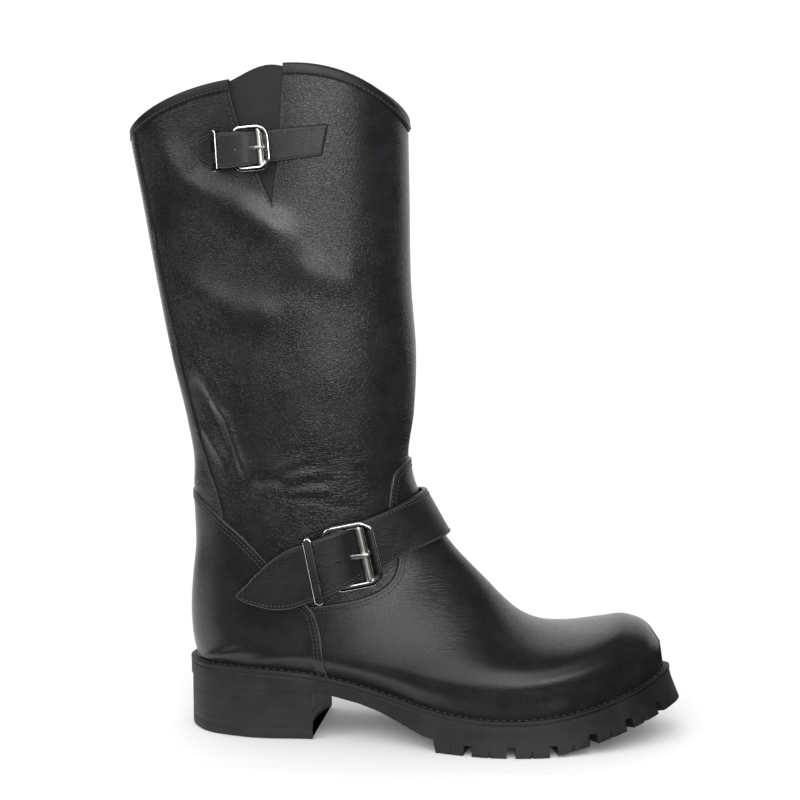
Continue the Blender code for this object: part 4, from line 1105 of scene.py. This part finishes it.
sole_bend = np.linspace(0, np.pi / 2, 26)
sole_x = np.concatenate([
    -1.4 + 30 * (1 - np.cos(sole_bend)), np.linspace(31, 142, 44)[:-1], [142.6, 144.2],
    np.linspace(147, 231, 32), 274.5 - 42 * (1 - np.cos(sole_bend[::-1])),
])
sole_rings = []
for x in sole_x:
    top, low = seat(np.array(x)) - WELT - 0.1, under(x)
    ring = []
    for side in (-1, 1):
        column = []
        for share in (0.0, 0.06, 0.25, 0.5, 0.75, 1.0):
            inset = 0.15 - flare(np.array(x)) * share ** 1.3 + (0.35 if share == 0.0 else 0.0)
            column.append((*rim(part_at(x, side), side, inset)[:2], top + share * (low - top)))
        ring += column if side > 0 else column[::-1]
    sole_rings.append(ring)
outsole = piece("lugged_sole", *tube(sole_rings), sole_rubber, "sole_rubber", "outsole")


def carve(target, cutters):
    """Cut a group of closed solids out of a piece."""
    body = bmesh.new()
    for points, faces in cutters:
        corners = [body.verts.new(spot) for spot in metres(points)]
        for face in faces:
            body.faces.new([corners[i] for i in face])
    bmesh.ops.recalc_face_normals(body, faces=body.faces)
    mesh = bpy.data.meshes.new("cutter")
    body.to_mesh(mesh)
    body.free()
    cutter = bpy.data.objects.new("cutter", mesh)
    bpy.context.scene.collection.objects.link(cutter)
    change = target.modifiers.new("cut", "BOOLEAN")
    change.object = cutter
    change.operation = "DIFFERENCE"
    change.solver = "EXACT"
    bake(target)
    bpy.data.objects.remove(cutter, do_unlink=True)


def bake(target):
    """Apply the modifiers of a piece to its mesh."""
    done = bpy.data.meshes.new_from_object(target.evaluated_get(bpy.context.evaluated_depsgraph_get()))
    material = target.data.materials[0]
    target.modifiers.clear()
    target.data = done
    done.materials.clear()
    done.materials.append(material)
    for face in done.polygons:
        face.material_index = 0


def upright(middle, along, half_long, half_wide, top, taper=0.0):
    """Upright box below a height, with its length along a plan direction and slanted flanks."""
    along = np.array(along) / np.hypot(*along)
    across = np.array([-along[1], along[0]])
    rings = []
    for z, wide in ((-6.0, half_wide + taper), (top, half_wide)):
        rings.append([(*(np.array(middle) + a * half_long * along + b * wide * across), z)
                      for a, b in ((-1, -1), (1, -1), (1, 1), (-1, 1))])
    return tube(rings)


side_cuts, nick_cuts, middle_cuts = [], [], []
for side in (-1, 1):
    for x in GROOVES:
        px, py, wx, wy = rim(part_at(x, side), side, GROOVE_INSET)
        side_cuts.append(
            upright((px, py), (-wy, wx), GROOVE_LONG, GROOVE_HALF, under(x) + LUG, GROOVE_TAPER))
    for x in NICKS:
        px, py, wx, wy = rim(part_at(x, side), side, -NICK_OUT - float(flare(np.array(x))) * 0.6)
        nick_cuts.append(
            upright((px, py), (wx + wy, wy - wx), NICK_HALF, NICK_HALF, under(x) + LUG * NICK_RISE))
for x in BARS:
    ends = np.array([rim(part_at(x, side), side, BAR_INSET)[:2] for side in (-1, 1)])
    across = ends[1] - ends[0]
    middle_cuts.append(upright(ends.mean(axis=0), across, np.hypot(*across) / 2, BAR_HALF, under(x) + LUG))
channel = []
for side, first, last in ((-1, CHANNEL_BACK, CHANNEL_FRONT), (1, CHANNEL_FRONT, CHANNEL_BACK)):
    for x in np.linspace(first, last, 40):
        wide, narrow = (rim(part_at(x, side), side, inset) for inset in (CHANNEL_WIDE, CHANNEL_NARROW))
        top = under(max(x, 145.0)) + LUG - 0.4
        channel.append([(*wide[:2], -6), (*wide[:2], top), (*narrow[:2], top), (*narrow[:2], -6)])
for cuts in ([tube(channel)], side_cuts, middle_cuts, nick_cuts):
    carve(outsole, cuts)
soften = outsole.modifiers.new("soft edges", "BEVEL")
soften.width = SOFT_EDGE * MM
soften.segments = 2
soften.limit_method = "ANGLE"
soften.angle_limit = np.radians(35)
bake(outsole)
outsole.data.shade_smooth()
outsole.data.set_sharp_from_angle(angle=np.radians(40))

# Heel: a tall block built up from layers, with a hollow front and a rubber top
# piece that stands on the floor.
HEEL_FRONT = {-1: 73.0, 1: 77.0}     # x of its front corners on the outer and inner side
HEEL_INSET, HEEL_HOLLOW = 0.8, 5.0
heel_outline = [rim(p, -1, HEEL_INSET)[:2] for p in np.linspace(part_at(HEEL_FRONT[-1], -1), 0, 110)]
heel_outline += [rim(p, 1, HEEL_INSET)[:2] for p in np.linspace(0, part_at(HEEL_FRONT[1], 1), 110)[1:]]
corner_a, corner_b = np.array(heel_outline[-1]), np.array(heel_outline[0])
for w in np.linspace(0, 1, 24)[1:-1]:
    hollow = np.array([4 * w * (1 - w) * HEEL_HOLLOW, 0])
    heel_outline.append(tuple(corner_a + w * (corner_b - corner_a) - hollow))
heel_outline = np.array(heel_outline)
heel_way = np.roll(heel_outline, -1, axis=0) - np.roll(heel_outline, 1, axis=0)
heel_out = np.column_stack([-heel_way[:, 1], heel_way[:, 0]]) / np.hypot(*heel_way.T)[:, None]
heel_out *= np.sign(((heel_outline - heel_outline.mean(axis=0)) * heel_out).sum(axis=1).mean())
HEEL_LINES = [(6.2, 0.16), (10.5, 0.05), (17.6, 0.06), (23.5, 0.06)]     # height and depth of the stack lines
heel_levels = [(0.0, 0.7), (0.25, 0.3), (0.7, 0.05), (2.0, 0.0)]     # height, inset
for z, deep in HEEL_LINES:
    heel_levels += [(z - 0.45, 0.0), (z - 0.15, deep), (z + 0.15, deep), (z + 0.45, 0.0)]
heel_levels += [(26.0, 0.0), (99.0, 0.0)]
heel_rings = []
for z, deep in heel_levels:
    spots = heel_outline - deep * heel_out
    tops = under(spots[:, 0]) - 0.1
    heights = tops if z > 90 else np.minimum(z, tops - 0.3)
    heel_rings.append(np.column_stack([spots, heights * np.ones(len(spots))]))
piece("heel_block", *tube(heel_rings), sole_rubber, "sole_rubber", "heel")

# Ankle strap: thick harness leather sewn along both edges.  It runs from the inner
# side over the instep, through the buckle on the outer side, to a leaf-shaped tip.
strap_leather = leather(
    "strap_leather", (0.0088, 0.0090, 0.0099), (0.0165, 0.0169, 0.0184), 0.34, 1.5, 0.07, 0.07,
    [(128, -22, 122, 24), (118, -30, 116, 16), (60, -44, 96, 26)],
)
ANKLE_AXIS = 74.0
ANKLE_STRAP = [
    # bearing low_z  high_z low_off high_off
    (-144.0, 81.8, 83.2, 0.8, 0.8), (-139.0, 79.0, 89.0, 0.8, 0.8), (-131.0, 77.0, 97.4, 0.9, 0.9),
    (-124.0, 75.8, 103.4, 1.1, 1.1), (-115.0, 75.6, 108.8, 1.6, 1.6), (-98.0, 79.9, 114.8, 5.0, 5.0),
    (-88.0, 82.6, 117.4, 6.4, 6.4), (-76.0, 86.4, 120.6, 7.0, 7.0), (-66.0, 89.6, 122.8, 6.2, 6.2),
    (-56.0, 92.8, 124.8, 3.4, 3.4), (-48.0, 95.4, 126.8, 1.6, 1.6), (-36.0, 99.4, 130.2, 1.0, 1.2),
    (-18.0, 108.0, 136.0, 1.0, 1.4), (0.0, 113.0, 138.6, 1.0, 1.6), (18.0, 108.4, 136.2, 1.0, 1.4),
    (36.0, 101.0, 131.6, 1.0, 1.2), (56.0, 94.0, 126.4, 0.8, 0.9), (76.0, 88.0, 121.4, 0.8, 0.8),
    (100.0, 83.0, 116.4, 0.8, 0.8),
]
ANKLE_FLAT = np.array([
    # bearing, how flat the strap is across
    (-124.0, 0.0), (-100.0, 1.0), (-44.0, 1.0), (-26.0, 0.0),
])
ANKLE_LEAN = 0.20     # slant of the flat stretch under the buckle
ANKLE_THICK = 2.4
STRAP_ROUND = 1.2     # width of the rounding along a strap's edges
ankle_tree = plain_tree(GAP + COUNTER)
ankle_read = curve([row[0] for row in ANKLE_STRAP], [row[1:] for row in ANKLE_STRAP])


def ankle_hits(bearing, low_z, high_z, low_off, high_off, extra):
    """Places across the boot at one bearing, held off its leather."""
    angle = np.radians(bearing)
    way = np.array([np.cos(angle), np.sin(angle), 0.0])
    row = []
    for w in (0.0, 0.5, 1.0):
        source = np.array([ANKLE_AXIS, 0.0, low_z + w * (high_z - low_z)]) + 260 * way
        hit = ankle_tree.ray_cast(Vector(source), Vector(-way))[0]
        row.append(np.array(hit) + (low_off + w * (high_off - low_off) + extra) * way)
    span = [np.hypot(p[0] - ANKLE_AXIS, p[1]) for p in row]
    row[1] = row[1] + max(0.0, (span[0] + span[2]) / 2 - span[1]) * way
    return np.array(row)


lean_row = ankle_hits(-62.0, *ankle_read(-62.0), 0.0)
lean_way = lean_row[2] - lean_row[0]
ANKLE_WAY = unit(lean_way / lean_way[2] - np.array([ANKLE_LEAN, 0.0, 0.0]))


def ankle_row(bearing, extra):
    """Three points across the ankle strap at one bearing."""
    read = ankle_read(bearing)
    row = ankle_hits(bearing, *read, extra)
    half = (read[1] - read[0]) * 0.483 * ANKLE_WAY
    share = np.interp(bearing, *ANKLE_FLAT.T)
    return (1 - share) * row + share * np.array([row[1] - half, row[1], row[1] + half])


def strap_sheet(rows, thick):
    """Points and faces of a strap from rows of three points across it, with rounded edges."""
    rows = np.asarray(rows, float)
    low, middle, high = rows[:, 0], rows[:, 1], rows[:, 2]
    wide = np.linalg.norm(high - low, axis=1)
    steps = EDGE_STEPS[::-1][None]
    fit = np.minimum(steps, 0.12 * wide[:, None] * steps / EDGE_STEPS[0]) / wide[:, None]
    body = np.linspace(0, 1, 13)[None, 1:-1] * (1 - 2 * fit[:, -1:]) + fit[:, -1:]
    w = np.concatenate([fit, body, 1 - fit[:, ::-1]], axis=1)[..., None]
    low_share, middle_share, high_share = 2 * (w - 0.5) * (w - 1), 4 * w * (1 - w), 2 * w * (w - 0.5)
    grid = low_share * low[:, None] + middle_share * middle[:, None] + high_share * high[:, None]
    normal = unit(np.cross(np.gradient(grid, axis=0), np.gradient(grid, axis=1)))
    normal *= np.sign((normal * (grid - [ANKLE_AXIS, 0, 0]) * [1, 1, 0]).sum(axis=-1).mean())
    runs = way_to(middle)
    ends = np.minimum(runs, runs[-1] - runs)[:, None]
    far = np.minimum(np.minimum(w[..., 0], 1 - w[..., 0]) * wide[:, None], ends)
    round_edge = np.sqrt(1 - (1 - np.clip(far / STRAP_ROUND, 0, 1)) ** 2)
    outer = grid + (thick * (0.35 + 0.65 * round_edge))[..., None] * normal
    inner = grid + (thick * 0.25 * (1 - round_edge))[..., None] * normal
    return closed_sheet(outer, inner)


bearings = spaced(
    [-144.0, -143.9, -143.7, -143.4, -142.9, -142.2], np.linspace(-141.4, -96, 45), np.linspace(-96, 98, 130),
    [99.0, 99.6, 100.0],
)
ankle_rows = np.array([ankle_row(b, 0.0) for b in bearings])
ankle_strap = piece(
    "ankle_belt", *strap_sheet(ankle_rows, ANKLE_THICK), strap_leather, "strap_leather", "ankle_strap")


def punch(strap, spot, way, radius):
    """Round hole through a strap."""
    spot, way = np.array(spot, float), unit(np.array(way, float))
    side_way = unit(np.cross(way, (0, 0, 1)))
    up = np.cross(side_way, way)
    rings = [[spot + a * way + c * side_way + s * up for c, s in circle(radius, 19)[:-1]]
             for a in (-6.0, 6.0)]
    carve(strap, [tube(rings)])
    strap.data.shade_smooth()
    strap.data.set_sharp_from_angle(angle=np.radians(50))


def edge_seams(tree, rows, inset, clear=4.0):
    """Line of stitches along the upper edge of a strap, across its sewn end and back along the lower edge."""
    across = rows[:, 2] - rows[:, 0]
    wide = np.linalg.norm(across, axis=1)
    share = np.minimum(inset / wide, 0.42)[:, None]
    keep = wide > 3 * inset
    low, high = rows[:, 0] + share * across, rows[:, 2] - share * across
    lifted = []
    for spot in metres(np.concatenate([high[keep], low[keep][::-1]])):
        aside = spot + np.sign(spot[1]) * np.array([0, clear * MM, 0])
        lifted.append(tree.find_nearest(Vector(aside))[0])
    return np.array(lifted)


def strap_edges(name, tree, rows):
    """Pale beads along both sides of a strap: raw edges, painted lighter as the highlight they catch."""
    beads = [highlight_bead(tree, metres(rows[:, k])) for k in (0, 2)]
    piece(name, *together(*beads), raw_edge_highlight, "strap_leather")


HOLE_WAY = np.radians(-75)
punch(ankle_strap, ankle_row(-70.0, 0.0)[1], (np.cos(HOLE_WAY), np.sin(HOLE_WAY), 0), 1.0)
strap_tree = tree_of(ankle_strap)
outer_rows = np.array([ankle_row(b, ANKLE_THICK) for b in bearings])
strap_seam = edge_seams(strap_tree, outer_rows, 2.3)
sew("ankle_strap_stitches", [(strap_tree, strap_seam)], "strap_leather", 2.4, 0.32)
strap_edges("strap_edges", strap_tree, outer_rows)

# Ankle buckle: a cast nickel frame with a broad front bar, a bar that the prong
# rests on, the prong itself and the leather loop that holds it under the strap.


def metal(name, rough):
    """Polished nickel with faint scratches and dull places."""
    made, shader, place = finish(name, Metallic=1.0)
    dull = place.noise(90.0, 4.0).step(0.4, 0.75)
    scratch = place.stretched(400.0, 400.0, 4000.0).noise(1.0, 2.0)
    join(shader, Base_Color=dull.colour((0.90, 0.885, 0.855), (0.76, 0.745, 0.71)),
         Roughness=rough + dull * 0.12 + scratch * 0.06, Normal=scratch.bump(0.25, 0.00004))
    return made


nickel = metal("nickel", 0.10)
worn_nickel = metal("worn_nickel", 0.34)


def rounded(half_a, half_b, radius, steps):
    """Rounded rectangle about the origin."""
    found = []
    for k, (sa, sb) in enumerate(((1, 1), (-1, 1), (-1, -1), (1, -1))):
        for turn in np.linspace(0, np.pi / 2, steps) + k * np.pi / 2:
            a, b = sa * (half_a - radius), sb * (half_b - radius)
            found.append((a + radius * np.cos(turn), b + radius * np.sin(turn)))
    return np.array(found)


def buckle(name, rear, front, across, half, arm, band, pin, bar, prong, middle):
    """Buckle from the middles of its rear bar and of the bar that the prong rests on."""
    rear, front = np.array(rear), np.array(front)
    ahead = front - rear
    length = np.linalg.norm(ahead)
    ahead = ahead / length
    out = unit(np.cross(ahead, across))
    out = out * np.sign(-out[1])
    wide = np.cross(out, ahead)
    wide = wide * np.sign(wide[2])

    def place(a, b, n):
        return rear + a * ahead + b * wide + n * out

    total = length + bar[0] + 0.5 + band[0]
    corners = rounded(total / 2, half, 5.0, 10)
    path = evenly(np.vstack([corners, corners[:1]]), 0.9)[:-1]
    profile = [(np.sign(c) * abs(c) ** 0.6, np.sign(s) * abs(s) ** 0.6) for c, s in circle(1.0, 21)[:-1]]
    rings = []
    for k, (a, b) in enumerate(path):
        way = path[(k + 1) % len(path)] - path[k - 1]
        normal = np.array([way[1], -way[0]]) / np.hypot(*way)
        in_bar = ease((half - 1.0 - abs(b)) / 3.0)
        thick = np.array(arm) * (1 - in_bar) + in_bar * np.array(band if a > 0 else (pin, pin))
        side_a, side_b = normal * thick[0]
        rings.append([place(total / 2 + a + side_a * c, b + side_b * c, thick[1] * s) for c, s in profile])
    piece(name + "_frame", *tube(rings, closed=True), nickel, "nickel", name + "_buckle_frame")
    rings = []
    for b in np.concatenate([[-1.0, -0.985], np.linspace(-0.95, 0.95, 21), [0.985, 1.0]]):
        slim = 0.55 if abs(b) == 1.0 else 0.85 if abs(b) > 0.96 else 1.0
        reach = b * (half - arm[0] * 0.4)
        rings.append([place(length + bar[0] * c, reach, bar[1] * s) for c, s in circle(slim, 17)[:-1]])
    piece(name + "_bar", *tube(rings), worn_nickel, "nickel", name + "_buckle_roller")

    thin = prong[1]
    bore = pin + 0.25
    spine = np.array([
        (bore + 0.6, 0.1), (middle * length, 0.1), (length - 0.6, bar[1] + 0.2 + thin),
        (length + bar[0] + 0.8, bar[1] + thin),
    ])
    runs = way_to(spine)
    spine = curve(runs, spine)(np.linspace(0, runs[-1], 30))
    rings = []
    for k, (a, n) in enumerate(spine):
        slim = 1.0 if k < 27 else (0.94, 0.82, 0.5)[k - 27]
        rings.append([place(a, prong[0] * slim * c, n + thin * slim * s) for c, s in profile])
    eye = ((bore, -prong[0]), (bore + 1.2, -prong[0]), (bore + 1.2, prong[0]), (bore, prong[0]))
    hook = [[place(r * c, b, r * s) for r, b in eye] for c, s in circle(1.0, 25)[:-1]]
    prong_solid = together(tube(rings), tube(hook, closed=True))
    piece(name + "_prong", *prong_solid, worn_nickel, "nickel", name + "_buckle_prong")

    tail = -max(6.4, length * 0.26)
    loop_out = circle(bore + 1.0, 15, np.radians(-90), np.radians(90))
    loop_in = circle(bore, 15, np.radians(90), np.radians(-90))
    outline = [(tail, -bore - 1.0), *loop_out, (tail / 2, bore + 1.0)]
    outline += [(tail / 2, bore), *loop_in, (tail, -bore)]
    rings = [[place(a, b, n) for a, n in outline] for b in np.linspace(-half + 5.2, half - 5.2, 6)]
    piece(name + "_loop", *tube(rings), strap_leather, "strap_leather", name + "_billet")


def keeper(name, low, high, thick, along, half, bar, wide):
    """Metal loop around a strap: a long plate with round ends and bevelled rims, on a thin wire loop."""
    low, high, along = np.array(low), np.array(high), unit(np.array(along))
    out = high - low
    out = unit(out - along * (out @ along))
    across = np.cross(out, along)
    bottom, top = -thick, (high - low) @ out + 2 * GAP

    def place(a, b, n):
        return low + a * along + b * across + n * out

    middle, tall = (bottom + top) / 2, (top - bottom) / 2
    wire, band = bar * 0.7, wide * 0.5
    outer, inner = rounded(half - 0.6, tall + wire, 1.6, 6), rounded(half - 0.6 - wire, tall, 0.9, 6)
    loop_rings = []
    for (outer_b, outer_n), (inner_b, inner_n) in zip(outer, inner):
        outer_n, inner_n = middle + outer_n, middle + inner_n
        loop_rings.append([place(-band, outer_b, outer_n), place(band, outer_b, outer_n),
                           place(band, inner_b, inner_n), place(-band, inner_b, inner_n)])
    plate = rounded(wide, half, wide - 0.01, 10)
    spine = np.column_stack([np.zeros(len(plate)), np.clip(plate[:, 1], wide - half, half - wide)])
    plate_rings = []
    for level, share in ((0.0, 0.94), (0.0, 1.0), (0.45, 1.0), (0.8, 0.93), (1.0, 0.72), (1.0, 0.62)):
        plate_rings.append([place(*spot, top + bar * level) for spot in spine + share * (plate - spine)])
    keeper_solid = together(tube(loop_rings, closed=True), tube(plate_rings))
    piece(name + "_plate", *keeper_solid, nickel, "nickel", name)


buckle(
    "ankle", ankle_row(-76.0, -3.4)[1] + (0.0, 0.0, 0.9),
    ankle_row(-51.4, ANKLE_THICK + 3.2)[1] - (0.0, 0.0, 1.5), ANKLE_WAY,
    half=17.2, arm=(1.8, 1.5), band=(2.7, 1.3), pin=1.2, bar=(1.9, 1.7), prong=(1.3, 0.8), middle=0.56,
)
keeper(
    "ankle_keeper", ankle_row(-88.0, 0.0)[1], ankle_row(-88.0, ANKLE_THICK)[1], 2.0,
    (ankle_row(-82.0, 0.0)[1] - ankle_row(-94.0, 0.0)[1]) * (1.0, 1.0, 0.5), half=19.4, bar=1.3, wide=2.7,
)

# Top strap: a short strap across the slit, sewn down at its front end and buckled
# the same way, with a smaller buckle and keeper.
TOP_STRAP = [
    # x    low_z  high_z  off
    (9.0, 331.0, 332.6, 0.6), (11.0, 327.6, 335.6, 0.6), (15.0, 323.6, 338.6, 0.8),
    (20.0, 321.8, 340.4, 2.8), (26.0, 321.6, 341.2, 5.2), (34.0, 322.2, 341.6, 6.2),
    (40.0, 323.0, 341.8, 5.4), (45.0, 323.8, 342.0, 3.0), (50.0, 324.6, 342.4, 1.0),
    (58.0, 325.6, 343.2, 0.4), (70.0, 327.2, 344.4, 0.4), (82.6, 328.6, 345.6, 0.4),
]
TOP_THICK = 2.0
TOP_LEAN = 3.4     # slant of the sewn front end
top_tree = plain_tree(GAP)
top_read = curve([row[0] for row in TOP_STRAP], [row[1:] for row in TOP_STRAP])


def top_row(x, extra):
    """Three points across the top strap at one x."""
    low_z, high_z, off = top_read(x)
    row = []
    for w in (0.0, 0.5, 1.0):
        lean = TOP_LEAN * ease((x - 62.0) / 20.0) * (w - 0.5)
        source = Vector((x + lean, -260.0, low_z + w * (high_z - low_z)))
        hit = top_tree.ray_cast(source, Vector((0.0, 1.0, 0.0)))[0]
        row.append(np.array(hit) - np.array([0.0, off + extra, 0.0]))
    return np.array(row)


def cross_seam(x):
    """Line of stitches across the top strap at one x."""
    under_row = top_row(x, 0)
    return metres([top_row(x, TOP_THICK)[1] + w * (under_row[2] - under_row[0]) for w in (-0.38, 0.38)])


top_places = spaced([9.0, 9.1, 9.3, 9.7, 10.3], np.linspace(11, 81, 84), [81.8, 82.3, 82.6])
top_sheet = strap_sheet([top_row(x, 0.0) for x in top_places], TOP_THICK)
top_strap = piece("collar_belt", *top_sheet, strap_leather, "strap_leather", "top_strap")
punch(top_strap, top_row(35.4, 0.0)[1], (0, -1, 0), 0.9)
top_tree_outer = tree_of(top_strap)
top_rows = np.array([top_row(x, TOP_THICK) for x in top_places])
top_seams = [edge_seams(top_tree_outer, top_rows, 2.0), cross_seam(70.5), cross_seam(75.0)]
sew("top_strap_stitches", [(top_tree_outer, line) for line in top_seams], "strap_leather", 2.4, 0.30)
strap_edges("top_strap_edges", top_tree_outer, top_rows)
top_lean = top_row(42.0, 0.0)
buckle(
    "top", top_row(33.6, -3.1)[1], top_row(48.2, TOP_THICK + 2.8)[1], top_lean[2] - top_lean[0],
    half=11.0, arm=(1.5, 1.3), band=(2.0, 1.1), pin=1.0, bar=(1.4, 1.3), prong=(1.0, 0.7), middle=0.5,
)
keeper(
    "top_keeper", top_row(24.2, 0.0)[1], top_row(24.2, TOP_THICK)[1], 1.6,
    top_row(27.0, 0.0)[1] - top_row(21.4, 0.0)[1], half=11.4, bar=1.0, wide=1.9,
)

# Floor and backdrop: a plain pale floor and a sweep of white paper behind the boot.
# The boot mirrors the paper close to it, and not the floor in front.


def paper(name, pale):
    """Matte white paper."""
    made, shader, place = finish(name, Roughness=0.85, Specular_IOR_Level=0.15)
    join(shader, Base_Color=place.noise(900.0, 2.0).colour((pale - 0.02,) * 3, (pale + 0.02,) * 3))
    return made


SWEEP_START, SWEEP_RADIUS, SWEEP_TOP = 0.9, 0.6, 2.6
floor_paper, back_paper = paper("floor_paper", 0.88), paper("back_paper", 0.88)


def stage_sheet(name, profile, left, right, finish_of):
    """Sheet of paper across the stage along a line of y and z."""
    mesh = bpy.data.meshes.new(name)
    mesh.from_pydata(
        [(x, y, z) for y, z in profile for x in (left, right)], [],
        [(2 * k, 2 * k + 1, 2 * k + 3, 2 * k + 2) for k in range(len(profile) - 1)])
    mesh.shade_smooth()
    mesh.materials.append(finish_of)
    made = bpy.data.objects.new(name, mesh)
    bpy.context.scene.collection.objects.link(made)
    return made


floor = stage_sheet("floor", [(-2.8, -0.0003), (SWEEP_START, -0.0003)], -2.6, 2.8, floor_paper)
floor.visible_glossy = False
stage_sheet("table", [(-0.08, -0.0002), (SWEEP_START, -0.0002)], -0.5, 0.2, floor_paper)
bend = np.linspace(0, np.pi / 2, 16)
bend = [(SWEEP_START + SWEEP_RADIUS * np.sin(a), SWEEP_RADIUS * (1 - np.cos(a)) - 0.0003) for a in bend]
stage_sheet("backdrop", bend + [(SWEEP_START + SWEEP_RADIUS, SWEEP_TOP)], -2.6, 2.8, back_paper)

# Light: a white room that lights the paper and the leather's own colour.  A large
# soft box stands in front above the camera, a low wide one to its right, a square one
# at the left and a dim fill behind the camera.
studio = bpy.data.worlds.new("studio")
studio.use_nodes = True
studio.node_tree.nodes["Background"].inputs["Color"].default_value = (1.0, 1.0, 1.0, 1.0)
studio.node_tree.nodes["Background"].inputs["Strength"].default_value = 1.0
bpy.context.scene.world = studio
studio.cycles_visibility.glossy = False
bpy.context.scene.view_settings.view_transform = "Standard"


def soft_box(name, place, aim, wide, tall, power):
    """Rectangular lamp that points at a place."""
    lamp = bpy.data.lights.new(name, "AREA")
    lamp.shape = "RECTANGLE"
    lamp.size, lamp.size_y, lamp.energy = wide, tall, power
    box = bpy.data.objects.new(name, lamp)
    box.location = place
    box.rotation_euler = (Vector(aim) - Vector(place)).to_track_quat("-Z", "Y").to_euler()
    box.visible_camera = False
    bpy.context.scene.collection.objects.link(box)


soft_box("front_box", (0.02, -1.54, 1.37), (0.05, 0.0, 0.25), 1.05, 1.77, 15.0)
soft_box("low_box", (0.70, -1.79, 0.42), (0.05, 0.0, 0.30), 1.2, 0.50, 9.5)
soft_box("left_box", (-1.23, -1.07, 0.92), (0.0, 0.0, 0.25), 0.9, 0.9, 7.0)
soft_box("fill_box", (0.05, -2.60, 0.80), (0.05, 0.0, 0.30), 4.0, 3.0, 3.0)

# Camera: a long lens level with the collar, a little ahead of the boot's middle.  It
# looks slightly down and back, at the angle of the photo.
lens = bpy.data.cameras.new("camera")
lens.lens, lens.sensor_width = 92.475, 36.0
camera = bpy.data.objects.new("camera", lens)
camera.location = (0.174228, -1.146455, 0.365)
camera.rotation_euler = Vector((-0.077566, 0.985571, -0.150442)).to_track_quat("-Z", "Y").to_euler()
bpy.context.scene.collection.objects.link(camera)
bpy.context.scene.camera = camera

bpy.context.view_layer.update()
